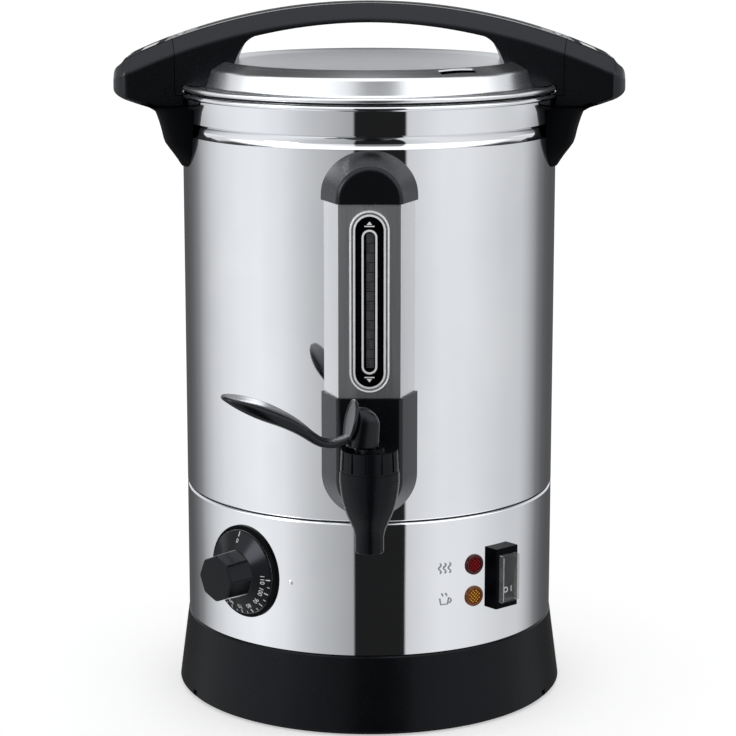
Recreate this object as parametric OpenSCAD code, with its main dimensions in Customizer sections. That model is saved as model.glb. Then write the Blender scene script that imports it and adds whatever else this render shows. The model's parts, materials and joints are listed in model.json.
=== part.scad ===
// Mulled wine urn: a steel pot on a heated base, with a turning lid, a level gauge and a lever tap.
// Millimetres, +Z up, the front is -Y, the origin is the centre of the face the urn stands on.

/* [Pot] */
// Outside diameter of the pot and of the band under it
pot_d = 220; // [212:2:236]
// Height of the pot from the seam to the top of its rolled rim
pot_h = 234.4; // [228:1:250]
// Thickness of the steel sheet
sheet = 0.8; // [0.6:0.1:1]
// Depth of the rolled groove under the rim
groove_depth = 2; // [1:0.5:3]

/* [Base] */
// Height of the black base ring
base_h = 46.6; // [40:0.2:56]
// Distance the base flares out past the pot at the bottom
base_flare = 6; // [4:0.5:9]
// Height of the steel band that holds the controls
band_h = 78; // [76:1:86]
// Height of the rubber ring under the base
foot_h = 0.8; // [0.8:0.1:2]

/* [Lid] */
// Height of the lid crest above the lid rim
lid_crest = 15; // [12:0.5:20]
// Depth of the dish in the lid
dish_depth = 7; // [4:0.5:9]
// Height of the arch top above the lid rim
arch_rise = 48; // [44:1:56]
// Radius of the arch in the front view
arch_r = 335; // [320:5:360]
// Half width of the top face at the middle of the arch
grip_half = 15; // [13:0.5:18]
// Reach of the side handles past the pot
handle_reach = 38.8; // [36:0.2:46]

/* [Gauge] */
// Half width of the gauge column against the pot
column_half = 26.9; // [25:0.5:29]
// Half width of the gauge column at its front
column_front_half = 18.8; // [18:0.2:20]
// Depth of the gauge column in front of the pot
column_depth = 18.4; // [17.6:0.2:21]
// Width of the level window
window_w = 15.6; // [14:0.2:16]
// Outside diameter of the sight tube
tube_d = 9; // [7:0.5:9]

/* [Tap] */
// Distance from the pot to the axis of the tap
tap_reach = 45; // [42:1:52]
// Height of the tap inlet above the seam
inlet_rise = 28; // [26:0.5:31]
// Largest diameter of the tap body
tap_d = 33; // [32:0.5:36]
// Length of the tap lever from the tap axis
lever_len = 81; // [70:1:92]
// Direction of the lever, turned forward from the left
lever_yaw = 12; // [0:1:40]

/* [Controls] */
// Angle of the dial from the front, left is negative
dial_angle = -39.5; // [-50:0.5:-36]
// Turn of the dial away from square to the band
dial_tilt = -5; // [-6:0.5:0]
// Diameter of the dial ring
dial_d = 54; // [48:1:56]
// Angle of the lamps from the front
lamp_angle = 32.8; // [26:0.1:33]
// Diameter of the lamp lenses
lamp_d = 12; // [10:0.5:13]
// Angle of the switch from the front
switch_angle = 41.5; // [41.5:0.5:50]

/* [Hidden] */
$fn = 96;
// Gaps between pieces: held in one body, running fit, and free of each other
seat_gap = 0.05;
fit_gap = 0.05;
free_gap = 0.35;
tiny = 0.01;
over = 1;

pot_r = pot_d / 2;
pot_in_r = pot_r - sheet;
base_r = pot_r + base_flare;
base_wall = 3;
base_top_r = pot_r + 0.4;
ring_in_r = base_r - 19;
flange_in_r = ring_in_r - 13;
plate_z = 4;
flange_z = 5;
flange_top_z = 8;
spigot_r = pot_r - sheet - 0.2;
spigot_wall = 2.2;
spigot_h = 8;
edge = 1.5;
corner = 2;
foot_in_r = base_r - 15;
foot_w = 6;
screw_ring_r = ring_in_r - 6;
screw_r = 1.5;
screw_head_r = 3.2;
screw_head_h = 1.6;
screw_len = 10;
boss_h = 8;
boss_r = 4;
notch_w = 4.8;
notch_h = 5;
notch_angles = [-64, 64, -116, 116];
screw_angles = [45, 135, 225, 315];

band_top = base_h + band_h;
roll_r = 1.6;
band_lip = 6;
seam_gap = 0.9;
seam_z = band_top + seam_gap;
floor_t = 1;
rim_z = seam_z + pot_h;
bead_r = 1.5;
bead_off = 0.5;
rim_r = pot_r + bead_off + bead_r;
groove_r = 5;
groove_z = rim_z - 20.3;

lid_z = rim_z + 1.4;
lid_bead_z = lid_z + bead_r;
lid_flange_z = lid_bead_z - sheet / 2;
bead_clear_z = lid_bead_z + bead_r + 0.15;
skirt_r = pot_r - 11.8;
skirt_top_r = skirt_r - 2;
shoulder_r = 3.2;
crest_r = pot_r - 22.5;
crest_z = lid_z + lid_crest + 1.5;
shoulder_z = crest_z - 3.4;
plug_r = pot_r - 5;
plug_h = 9;
seal_out_r = pot_r + bead_off - bead_r - free_gap;
vent_angle = 33;
vent_w = 24;
vent_depth = 3.6;

arch_z = lid_z + arch_rise + 1.5;
arch_cz = arch_z - arch_r;
arch_under_r = 290;
arch_under_z = arch_z - 10.8;
arch_under_cz = arch_under_z - arch_under_r;
arch_open_x = crest_r - 9;
arch_spring_x = arch_open_x - 12.5;
bar_chamfer = 6.5;
bar_drop = 9;
bar_flare = 4.5;
joint_r = pot_r + 6.2;
tab_w = 5.2;
tab_h = 5;
tab_line = 0.5;
hook_z = rim_z - 1.1;
inlay_half = 7;
inlay_t = 1.4;
inlay_sink = 1;
inlay_angle = 17.5;
lid_screw_x = crest_r + 3.5;
lid_screw_y = 9;
lid_screw_r = 2;
lid_screw_len = 12;
lid_screw_head_r = 3.6;
lid_screw_head_h = 2;

tip_x = pot_r + handle_reach;
tab_y = grip_half + bar_chamfer + pot_r * tan(bar_flare) - 0.2;
tab_x = sqrt(joint_r * joint_r - tab_y * tab_y) + tab_w;
leg_top_z = rim_z - 6;
leg_low_z = rim_z - 42.8;
leg_half_top = 45;
leg_half_low = 39;
bolt_zs = [rim_z - 10, rim_z - 33];
bolt_r = 2.5;
bolt_head_r = 4.5;
bolt_head_h = 2.5;
bolt_grip = 9;

column_back = pot_r - 3;
column_y = pot_r + column_depth;
shroud_cz = seam_z + 28.2;
shroud_top = seam_z + 75;
cap_cz = rim_z - 49.5;
cap_low = cap_cz - 2;
cover_in = 1.5;
cover_half = column_half - cover_in;
cover_front_half = column_front_half - cover_in;
cover_y = column_y - 1.2;
shell_t = 2;
bezel_w = 22;
bezel_low = shroud_top + 3.4;
bezel_high = cap_low - 3.4;
bezel_t = 1.6;
panel_t = 1.4;
slot_w = 6.4;
slot_margin = 11.5;
tube_r = tube_d / 2;
tube_wall = 1;
tube_y = pot_r + column_depth / 2;
seal_r = tube_r + 1.9;
socket_r = seal_r + 0.6;
tube_low = seam_z + 40;
tube_high = cap_cz + 10;
seal_h = 7;

tap_y = pot_r + tap_reach;
tap_r = tap_d / 2;
inlet_z = seam_z + inlet_rise;
shank_r = 9;
shank_bore_r = 5.5;
shank_end = pot_r - 13;
nut_h = 7;
nut_r = 13;
washer_out_r = 12;
nozzle_r = 7.9;
nozzle_bore_r = 5.4;
nozzle_z = seam_z - 4.7;
tap_top_z = inlet_z + 13;
chamber_r = tap_r - 4;
seat_z = inlet_z - 7.5;
bonnet_h = 12;
bonnet_z = tap_top_z;
bonnet_top = bonnet_z + bonnet_h;
bonnet_r = tap_r - 0.5;
bonnet_plate = 3;
rib_count = 12;
rib_offset = -5.8;
rib_w = 1.4;
rib_depth = 0.8;
washer_h = 1;
washer_r = 8;
stem_r = 3.4;
stem_neck_z = bonnet_top + 2;
stem_top = bonnet_top + 17.8;
head_r = 2.8;
slot_back = stem_r + 0.45;
slot_top = 18.9;
stem_flange_z = inlet_z + 6;
stem_flange_h = 2;
stem_flange_r = 8;
cup_r = 9;
cup_h = 5;
cup_z = seat_z + free_gap;
spring_r = 6.2;
spring_wire = 0.7;
spring_turns = 4;
pin_z = bonnet_top + 15;
pin_r = 1.5;
pin_half = 5.8;
hood_r = 8.2;
disc_r = 12;
disc_t = 2;
disc_u = 9.3;
disc_z = bonnet_top + 16;
disc_lean = 13;

dial_z = base_h + 43.4;
dial_r = dial_d / 2;
dial_plate_t = 2.9;
dial_seat = pot_r * (1 - cos(dial_tilt)) + seat_gap;
knob_skirt_r = dial_r - 2.4;
knob_low = dial_seat + dial_plate_t + free_gap;
knob_skirt_h = 1.5;
knob_cone_top_r = 14.5;
knob_cone_t = knob_low + 6.2;
knob_cone_h = knob_cone_t - knob_low - knob_skirt_h;
grip_r = 14.3;
grip_tip_r = 13.6;
grip_t = knob_low + 22;
grip_edge = 1;
shaft_r = 3;
neck_r = 5;
thermostat_w = 36;
thermostat_h = 30;
thermostat_deep = 18;
thermostat_back = 30;
neck_len = thermostat_back - thermostat_deep + dial_seat + dial_plate_t - 0.4;

switch_z = base_h + 40.6;
switch_w = 16.9;
switch_h = 35.7;
switch_t = 9.5;
switch_body_w = 13.4;
switch_body_h = 29;
switch_deep = 20;
rocker_half_w = 5.2;
rocker_r = 13;
rocker_pin_r = 1;
rocker_pin_half = rocker_half_w + 2;
rocker_pivot_t = 5.5;
rocker_face_t = 9.8;
rocker_tilt = 12;
boot_half_w = 6.4;
boot_half_h = 14;
boot_t = 0.8;
boot_rise = 3.9;
boot_edge = 1;

lamp_zs = [base_h + 49.3, base_h + 30.5];
lamp_r = lamp_d / 2;
lamp_t = 2.4;
lamp_stub_r = lamp_r - 1.1;
lamp_deep = 16;
lamp_rim = 1.6;
lamp_dip = 0.8;

gland_z = base_h + 22;
gland_r = 9;
gland_bore_r = 4;
gland_stem_r = 6.5;
gland_t = 5;
gland_nut_r = 10;
gland_nut_h = 6.5;

spreader_r = 78;
spreader_t = 4;
element_r = 58;
element_wire = 4;
element_sweep = 330;
element_pin_r = 2;
element_pin_h = 22;
element_pin_angles = [4, 326];
cutout_r = 8;
cutout_h = 12;
cutout_y = 20;
bulb_r = 3;
bulb_len = 45;
bulb_x = -25;
bulb_y = -20;
block_w = 36;
block_d = 18;
block_h = 14;
block_y = 30;
block_hole_r = 3;
block_hole_step = 12;
cooling_ring_r = 45;
cooling_hole_r = 3;

// Points on an arc in the plane, from angle a to angle b
function arc(cx, cy, r, a, b, n = 8) =
    [for (i = [0 : n]) [cx + r * cos(a + (b - a) * i / n), cy + r * sin(a + (b - a) * i / n)]];

// Points on a curve from p to q, drawn towards c
function bend(p, c, q, n = 8) =
    [for (i = [0 : n]) let (t = i / n) (1 - t) * (1 - t) * p + 2 * t * (1 - t) * c + t * t * q];

// Height of the top of the bar in the front view
function bar_z(x) = arch_cz + sqrt(arch_r * arch_r - x * x);

// Local +Z out of the pot, +Y up, at an angle from the front and a height
module radial(angle, z) {
    rotate([0, 0, angle])
        translate([0, 0, z])
            rotate([90, 0, 0])
                children();
}

// Place of the dial, turned about the upright line where its axis meets the band
module dial_place() {
    radial(dial_angle, dial_z)
        translate([0, 0, pot_r])
            rotate([0, dial_tilt, 0])
                translate([0, 0, -pot_r])
                    children();
}

// Room taken by the pot and the band, plus a gap
module inside(gap = seat_gap) {
    translate([0, 0, -over])
        cylinder(r = pot_r + gap, h = rim_z, $fn = 128);
}

// Flat tablet with round ends, in the plane of the gauge front
module tablet(w, low, high) {
    translate([0, low + w / 2])
        circle(d = w);
    translate([0, high - w / 2])
        circle(d = w);
    translate([-w / 2, low + w / 2])
        square([w, high - low - w]);
}

// Tablet pushed out along -Y between two distances from the axis
module tablet_block(w, low, high, y0, y1) {
    translate([0, -y0, 0])
        rotate([90, 0, 0])
            linear_extrude(height = y1 - y0)
                tablet(w, low, high);
}

// Upright part of the gauge column
module column_prism(half, front_half, y, low, high) {
    translate([0, 0, low])
        linear_extrude(height = high - low)
            polygon([[-half, -column_back], [half, -column_back], [front_half, -y], [-front_half, -y]]);
}

// Round end of the gauge column
module column_end(half, front_half, y, z) {
    translate([0, -column_back, z])
        rotate([90, 0, 0])
            cylinder(r1 = half, r2 = front_half, h = y - column_back);
}

// Black plastic ring the urn stands on
module base_ring() {
    color("#1b1b1d")
    difference() {
        union() {
            rotate_extrude()
                polygon([
                    [ring_in_r, foot_h],
                    [base_r - corner, foot_h],
                    [base_r - 0.9, foot_h + 0.9],
                    [base_r, foot_h + corner],
                    [base_top_r, base_h - edge],
                    [base_top_r - edge, base_h],
                    [spigot_r, base_h],
                    [spigot_r, base_h + spigot_h],
                    [spigot_r - spigot_wall, base_h + spigot_h],
                    [spigot_r - spigot_wall, base_h - 6],
                    [base_r - base_wall - 0.5, flange_top_z],
                    [flange_in_r, flange_top_z],
                    [flange_in_r, flange_z],
                    [ring_in_r, flange_z]
                ]);
            for (a = screw_angles)
                rotate([0, 0, a])
                    translate([screw_ring_r, 0, flange_top_z - tiny])
                        cylinder(r = boss_r, h = boss_h, $fn = 32);
        }
        for (a = screw_angles)
            rotate([0, 0, a])
                translate([screw_ring_r, 0, flange_z - over])
                    cylinder(r = screw_r + seat_gap, h = boss_h + 3, $fn = 32);
        for (a = notch_angles)
            rotate([0, 0, a - 90])
                translate([base_r - 5, -notch_w / 2, foot_h - over])
                    cube([10, notch_w, notch_h + over]);
        translate([0, 0, foot_h - over])
            difference() {
                cylinder(r = foot_in_r + foot_w, h = over + foot_h);
                translate([0, 0, -over])
                    cylinder(r = foot_in_r, h = 3 * over + foot_h);
            }
    }
}

// Rubber ring in the groove under the base
module foot_ring() {
    color("#101010")
    difference() {
        cylinder(r = foot_in_r + foot_w - seat_gap, h = 2 * foot_h - seat_gap);
        translate([0, 0, -over])
            cylinder(r = foot_in_r + seat_gap, h = 2 * foot_h + 2 * over);
    }
}

// Steel plate closing the base from below
module base_plate() {
    color("#b5b7ba")
    difference() {
        translate([0, 0, plate_z])
            cylinder(r = ring_in_r - 0.5, h = flange_z - plate_z - seat_gap);
        for (a = screw_angles)
            rotate([0, 0, a])
                translate([screw_ring_r, 0, plate_z - over])
                    cylinder(r = screw_r + seat_gap, h = 4, $fn = 32);
        for (a = [0 : 45 : 315])
            rotate([0, 0, a])
                translate([cooling_ring_r, 0, plate_z - over])
                    cylinder(r = cooling_hole_r, h = 4, $fn = 32);
    }
}

// Screws that hold the base plate
module base_screws() {
    color("#8d9094")
    for (a = screw_angles)
        rotate([0, 0, a])
            translate([screw_ring_r, 0, 0]) {
                translate([0, 0, plate_z - screw_head_h - seat_gap])
                    cylinder(r = screw_head_r, h = screw_head_h, $fn = 32);
                translate([0, 0, plate_z - screw_head_h])
                    cylinder(r = screw_r, h = screw_len, $fn = 32);
            }
}

// Steel band with the controls, its top edge rolled inwards
module lower_band() {
    color("#c9ccd0")
    difference() {
        rotate_extrude($fn = 128)
            polygon(concat(
                [[pot_r, base_h + seat_gap]],
                arc(pot_r - roll_r, band_top - roll_r, roll_r, 0, 90, 6),
                [[pot_r - band_lip, band_top], [pot_r - band_lip, band_top - sheet]],
                arc(pot_r - roll_r, band_top - roll_r, roll_r - sheet, 90, 0, 6),
                [[pot_in_r, base_h + seat_gap]]
            ));
        dial_place()
            cylinder(r = neck_r + seat_gap, h = 2 * pot_r, $fn = 48);
        for (z = lamp_zs)
            radial(lamp_angle, z)
                cylinder(r = lamp_stub_r + seat_gap, h = 2 * pot_r, $fn = 48);
        radial(switch_angle, switch_z)
            translate([-switch_body_w / 2 - seat_gap, -switch_body_h / 2 - seat_gap, 0])
                cube([switch_body_w + 2 * seat_gap, switch_body_h + 2 * seat_gap, 2 * pot_r]);
        radial(180, gland_z)
            cylinder(r = gland_stem_r + seat_gap, h = 2 * pot_r, $fn = 48);
    }
}

// Dark gasket in the seam between band and pot
module seam_gasket() {
    color("#141414")
    translate([0, 0, band_top + seat_gap])
        difference() {
            cylinder(r = pot_r - 1, h = seam_gap - 2 * seat_gap);
            translate([0, 0, -over])
                cylinder(r = pot_r - band_lip, h = seam_gap + 2 * over);
        }
}

// Deep drawn steel pot with rolled rim and groove
module pot() {
    color("#d3d6da")
    difference() {
        rotate_extrude($fn = 128)
            difference() {
                union() {
                    translate([pot_in_r, seam_z])
                        square([sheet, pot_h - bead_r]);
                    translate([0, seam_z])
                        square([pot_r - sheet / 2, floor_t]);
                    translate([pot_r + bead_off, rim_z - bead_r])
                        circle(r = bead_r, $fn = 48);
                    intersection() {
                        translate([pot_r + groove_r - groove_depth, groove_z])
                            circle(r = groove_r + sheet, $fn = 64);
                        translate([pot_r - 3 * groove_r, groove_z - 3 * groove_r])
                            square([3 * groove_r, 6 * groove_r]);
                    }
                }
                translate([pot_r + groove_r - groove_depth, groove_z])
                    circle(r = groove_r, $fn = 64);
            }
        translate([0, 0, inlet_z])
            rotate([90, 0, 0])
                cylinder(r = shank_r + seat_gap, h = 2 * pot_r, $fn = 48);
        for (z = bolt_zs)
            translate([-2 * pot_r, 0, z])
                rotate([0, 90, 0])
                    cylinder(r = bolt_r + seat_gap, h = 4 * pot_r, $fn = 32);
    }
}

// Aluminium plate under the pot floor
module heat_spreader() {
    color("#a8abad")
    translate([0, 0, seam_z - spreader_t - seat_gap])
        cylinder(r = spreader_r, h = spreader_t);
}

// Ring heating element under the spreader
module heating_element() {
    color("#6f5a45")
    translate([0, 0, seam_z - spreader_t - element_wire - 2 * seat_gap]) {
        rotate_extrude(angle = element_sweep)
            translate([element_r, 0])
                circle(r = element_wire, $fn = 32);
        for (a = element_pin_angles)
            rotate([0, 0, a])
                translate([element_r, 0, -element_pin_h])
                    cylinder(r = element_pin_r, h = element_pin_h, $fn = 32);
    }
}

// Safety cutout against the spreader
module thermal_cutout() {
    color("#2b2b2b")
    translate([0, cutout_y, seam_z - spreader_t - 2 * seat_gap - cutout_h])
        cylinder(r = cutout_r, h = cutout_h, $fn = 48);
}

// Sensing bulb of the thermostat
module sensor_bulb() {
    color("#b87333")
    translate([bulb_x, bulb_y, seam_z - spreader_t - 2 * seat_gap - bulb_r])
        rotate([0, 90, 0])
            cylinder(r = bulb_r, h = bulb_len, $fn = 32);
}

// Terminal block on the base plate
module terminal_block() {
    color("#d8d4c8")
    translate([-block_w / 2, block_y, flange_z])
        difference() {
            cube([block_w, block_d, block_h]);
            for (i = [-1 : 1])
                translate([block_w / 2 + i * block_hole_step, block_d / 2, block_h / 2])
                    cylinder(r = block_hole_r, h = block_h, $fn = 32);
        }
}

// Cable gland at the back, its bore open for a supply lead
module cable_gland() {
    color("#1a1a1a")
    difference() {
        union() {
            difference() {
                radial(180, gland_z)
                    cylinder(r1 = gland_r + 1, r2 = gland_r - 1, h = pot_r + gland_t, $fn = 48);
                inside();
            }
            radial(180, gland_z)
                translate([0, 0, pot_r - 12])
                    cylinder(r = gland_stem_r, h = 12 + gland_t, $fn = 48);
        }
        radial(180, gland_z)
            translate([0, 0, pot_r - 20])
                cylinder(r = gland_bore_r, h = 60, $fn = 48);
    }
}

// Nut on the inside of the cable gland
module gland_nut() {
    color("#242424")
    radial(180, gland_z)
        translate([0, 0, pot_r - 9])
            difference() {
                cylinder(r = gland_nut_r, h = gland_nut_h, $fn = 6);
                translate([0, 0, -over])
                    cylinder(r = gland_stem_r + seat_gap, h = gland_nut_h + 2 * over, $fn = 48);
            }
}

// Fixed disc behind the dial, square to the dial axis
module dial_ring() {
    color("#0f0f10")
    dial_place()
        translate([0, 0, pot_r + dial_seat])
            difference() {
                cylinder(r = dial_r, h = dial_plate_t);
                translate([0, 0, -over])
                    cylinder(r = neck_r + seat_gap, h = dial_plate_t + 2 * over, $fn = 48);
            }
}

// Body of the thermostat behind the band, with its neck
module thermostat_body() {
    color("#3a3a3c")
    dial_place()
        difference() {
            union() {
                translate([-thermostat_w / 2, -thermostat_h / 2, pot_r - thermostat_back])
                    cube([thermostat_w, thermostat_h, thermostat_deep]);
                translate([0, 0, pot_r - thermostat_back + thermostat_deep - tiny])
                    cylinder(r = neck_r, h = neck_len, $fn = 48);
            }
            translate([0, 0, pot_r - thermostat_back + 4])
                cylinder(r = shaft_r + fit_gap, h = 60, $fn = 48);
        }
}

// Spindle that the dial is fixed to
module thermostat_shaft() {
    color("#9a9da1")
    dial_place()
        translate([0, 0, pot_r - thermostat_back + 4 + free_gap])
            cylinder(r = shaft_r, h = thermostat_back + 10, $fn = 48);
}

// Dial with its eight sided grip
module thermostat_knob() {
    color("#18181a")
    dial_place()
        difference() {
            translate([0, 0, pot_r]) {
                translate([0, 0, knob_low])
                    cylinder(r = knob_skirt_r, h = knob_skirt_h);
                translate([0, 0, knob_low + knob_skirt_h - tiny])
                    cylinder(r1 = knob_skirt_r, r2 = knob_cone_top_r, h = knob_cone_h);
                translate([0, 0, knob_cone_t - 1])
                    cylinder(r1 = grip_r, r2 = grip_tip_r, h = grip_t - knob_cone_t + 1 - grip_edge, $fn = 8);
                translate([0, 0, grip_t - grip_edge - tiny])
                    cylinder(r1 = grip_tip_r, r2 = grip_tip_r - grip_edge, h = grip_edge, $fn = 8);
            }
            cylinder(r = shaft_r + seat_gap, h = pot_r + 16, $fn = 48);
        }
}

// Black frame of the switch, with the body behind the band
module switch_housing() {
    color("#121213")
    radial(switch_angle, switch_z)
        difference() {
            union() {
                difference() {
                    translate([-switch_w / 2, -switch_h / 2, pot_r - 3])
                        cube([switch_w, switch_h, switch_t + 3]);
                    translate([0, -switch_h, 0])
                        rotate([-90, 0, 0])
                            cylinder(r = pot_r + seat_gap, h = 2 * switch_h, $fn = 128);
                }
                translate([-switch_body_w / 2, -switch_body_h / 2, pot_r - switch_deep])
                    cube([switch_body_w, switch_body_h, switch_deep + 2]);
            }
            translate([-rocker_half_w - free_gap, -rocker_r - free_gap, pot_r - 8])
                cube([2 * rocker_half_w + 2 * free_gap, 2 * rocker_r + 2 * free_gap, 30]);
            translate([-rocker_pin_half - seat_gap, 0, pot_r + rocker_pivot_t])
                rotate([0, 90, 0])
                    cylinder(r = rocker_pin_r + seat_gap, h = 2 * (rocker_pin_half + seat_gap), $fn = 32);
        }
}

// Pivot of the rocker, held in the frame
module rocker_pin() {
    color("#8d9094")
    radial(switch_angle, switch_z)
        translate([-rocker_pin_half, 0, pot_r + rocker_pivot_t])
            rotate([0, 90, 0])
                cylinder(r = rocker_pin_r, h = 2 * rocker_pin_half, $fn = 32);
}

// Rocker of the switch, its lower half pressed in
module switch_rocker() {
    color("#202022")
    radial(switch_angle, switch_z)
        translate([-rocker_half_w, 0, pot_r])
            rotate([90, 0, 90])
                linear_extrude(height = 2 * rocker_half_w)
                    difference() {
                        intersection() {
                            polygon([
                                [-2 * rocker_r, rocker_face_t],
                                [0, rocker_face_t],
                                [2 * rocker_r, rocker_face_t + 2 * rocker_r * tan(rocker_tilt)],
                                [2 * rocker_r, 2.5],
                                [-2 * rocker_r, 2.5]
                            ]);
                            translate([0, rocker_pivot_t])
                                circle(r = rocker_r, $fn = 96);
                        }
                        translate([0, rocker_pivot_t])
                            circle(r = rocker_pin_r + fit_gap, $fn = 32);
                    }
}

// Clear cap over the rocker, with room for its swing
module switch_boot() {
    color("#dfe3e6", 0.35)
    radial(switch_angle, switch_z)
        translate([0, 0, pot_r + switch_t + seat_gap])
            difference() {
                boot_block(boot_half_w, boot_half_h, boot_rise);
                translate([0, 0, -over])
                    boot_block(boot_half_w - boot_t, boot_half_h - boot_t, boot_rise - boot_t + over);
            }
}

// Block with its front edges cut back at the ends
module boot_block(half_w, half_h, rise) {
    translate([-half_w, 0, 0])
        rotate([90, 0, 90])
            linear_extrude(height = 2 * half_w)
                polygon([
                    [-half_h, 0],
                    [-half_h, rise - boot_edge],
                    [boot_edge - half_h, rise],
                    [half_h - boot_edge, rise],
                    [half_h, rise - boot_edge],
                    [half_h, 0]
                ]);
}

// Lens of one lamp, with the stub through the band
module lamp_lens(z) {
    difference() {
        radial(lamp_angle, z)
            difference() {
                translate([0, 0, pot_r - 1])
                    cylinder(r = lamp_r, h = 1 + lamp_t, $fn = 64);
                translate([0, 0, pot_r + lamp_t - lamp_dip])
                    cylinder(r = lamp_r - lamp_rim, h = 2, $fn = 64);
            }
        inside();
    }
    radial(lamp_angle, z)
        translate([0, 0, pot_r - 4])
            cylinder(r = lamp_stub_r, h = 4.8, $fn = 64);
}

// Red lamp
module red_lamp() {
    color("#a01418")
        lamp_lens(lamp_zs[0]);
}

// Amber lamp
module amber_lamp() {
    color("#e08a1c")
        lamp_lens(lamp_zs[1]);
}

// Holders of the two lamps behind the band
module lamp_holders() {
    color("#e8e4da")
    for (z = lamp_zs)
        radial(lamp_angle, z)
            translate([0, 0, pot_r - lamp_deep])
                cylinder(r = lamp_stub_r + 0.6, h = lamp_deep - 4 - seat_gap, $fn = 48);
}

// Steel cover of the gauge column
module gauge_cover() {
    color("#85888c")
    difference() {
        column_prism(cover_half, cover_front_half, cover_y, shroud_top + seat_gap, cap_low - seat_gap);
        column_prism(cover_half - sheet * 1.2, cover_front_half - sheet * 1.2, cover_y - sheet,
            shroud_top - over, cap_low + over);
        tablet_block(bezel_w - 3, bezel_low + 1.5, bezel_high - 1.5, pot_r, column_y + over);
        inside(0.1);
    }
}

// Black top of the gauge column
module gauge_cap() {
    color("#1d1d1f")
    difference() {
        union() {
            intersection() {
                column_end(column_half, column_front_half, column_y, cap_cz);
                translate([-pot_r, -2 * pot_r, cap_cz - tiny])
                    cube([2 * pot_r, 2 * pot_r, pot_r]);
            }
            column_prism(column_half, column_front_half, column_y, cap_low, cap_cz);
        }
        translate([0, -tube_y, cap_low - over])
            cylinder(r = seal_r + seat_gap, h = tube_high - cap_low + over + 1, $fn = 48);
        inside(0.1);
    }
}

// Black lower part of the gauge column, open inside
module tap_shroud() {
    color("#1d1d1f")
    difference() {
        union() {
            intersection() {
                column_end(column_half, column_front_half, column_y, shroud_cz);
                translate([-pot_r, -2 * pot_r, shroud_cz - pot_r])
                    cube([2 * pot_r, 2 * pot_r, pot_r + tiny]);
            }
            column_prism(column_half, column_front_half, column_y, shroud_cz, shroud_top);
        }
        intersection() {
            column_end(column_half - shell_t, column_front_half - shell_t, column_y - shell_t, shroud_cz);
            translate([-pot_r, -2 * pot_r, shroud_cz - pot_r])
                cube([2 * pot_r, 2 * pot_r, pot_r + tiny]);
        }
        column_prism(column_half - shell_t, column_front_half - shell_t, column_y - shell_t,
            shroud_cz, shroud_top + over);
        translate([0, 0, inlet_z])
            rotate([90, 0, 0])
                cylinder(r = shank_r + 0.3, h = 2 * pot_r, $fn = 48);
        inside(0.1);
    }
}

// Bright frame around the level window
module gauge_bezel() {
    color("#d9dbde")
    difference() {
        tablet_block(bezel_w, bezel_low, bezel_high, cover_y + seat_gap, cover_y + bezel_t);
        tablet_block(window_w, bezel_low + (bezel_w - window_w) / 2, bezel_high - (bezel_w - window_w) / 2,
            cover_y - over, column_y + over);
    }
}

// Black window panel with the level slot
module gauge_panel() {
    color("#0c0c0d")
    difference() {
        tablet_block(window_w - 0.2, bezel_low + (bezel_w - window_w) / 2 + 0.1,
            bezel_high - (bezel_w - window_w) / 2 - 0.1, cover_y - sheet, cover_y - sheet + panel_t);
        tablet_block(slot_w, bezel_low + slot_margin, bezel_high - slot_margin, pot_r, column_y + over);
    }
}

// Clear tube that shows the level
module sight_tube() {
    color("#cfd8dc", 0.5)
    translate([0, -tube_y, tube_low])
        difference() {
            cylinder(r = tube_r, h = tube_high - tube_low, $fn = 48);
            translate([0, 0, -over])
                cylinder(r = tube_r - tube_wall, h = tube_high - tube_low + 2 * over, $fn = 48);
        }
}

// Rubber seals at both ends of the tube
module tube_seals() {
    color("#7c1f1a")
    for (z = [tube_low, tube_high - seal_h])
        translate([0, -tube_y, z])
            difference() {
                cylinder(r = seal_r, h = seal_h, $fn = 48);
                translate([0, 0, -over])
                    cylinder(r = tube_r + seat_gap, h = seal_h + 2 * over, $fn = 48);
            }
}

// Tap with inlet shank, gauge socket and nozzle
module tap_body() {
    color("#161617")
    difference() {
        union() {
            translate([0, -tap_y, 0])
                rotate_extrude()
                    polygon(concat(
                        [[0, nozzle_z], [nozzle_r - 0.4, nozzle_z], [nozzle_r, nozzle_z + 0.6]],
                        bend([nozzle_r, nozzle_z + 8], [nozzle_r + 0.3, nozzle_z + 12],
                            [tap_r - 6.4, nozzle_z + 15.6], 4),
                        bend([tap_r - 5.6, nozzle_z + 17.5], [tap_r - 0.8, nozzle_z + 27],
                            [tap_r, tap_top_z - 5], 6),
                        [[tap_r - 0.2, tap_top_z], [0, tap_top_z]]
                    ));
            translate([0, -tap_y, inlet_z])
                rotate([-90, 0, 0])
                    cylinder(r = shank_r, h = tap_y - shank_end, $fn = 64);
            translate([0, -tube_y, inlet_z])
                cylinder(r = socket_r, h = tube_low + seal_h - inlet_z, $fn = 48);
        }
        translate([0, -tap_y, seat_z])
            cylinder(r = chamber_r, h = tap_top_z - seat_z + over);
        translate([0, -tap_y, nozzle_z - over])
            cylinder(r = nozzle_bore_r, h = seat_z - nozzle_z + 2 * over, $fn = 48);
        translate([0, -tap_y, inlet_z])
            rotate([-90, 0, 0])
                cylinder(r = shank_bore_r, h = tap_y, $fn = 48);
        translate([0, -tube_y, inlet_z])
            cylinder(r = tube_r - tube_wall, h = tube_low, $fn = 48);
        translate([0, -tube_y, tube_low - seat_gap])
            cylinder(r = seal_r + seat_gap, h = seal_h + over, $fn = 48);
    }
}

// Nut on the shank inside the pot
module tap_nut() {
    color("#c4c7cb")
    difference() {
        translate([0, -shank_end - 1, inlet_z])
            rotate([90, 0, 0])
                cylinder(r = nut_r, h = nut_h, $fn = 6);
        translate([0, 0, inlet_z])
            rotate([90, 0, 0])
                cylinder(r = shank_r + seat_gap, h = 2 * pot_r, $fn = 64);
    }
}

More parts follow.
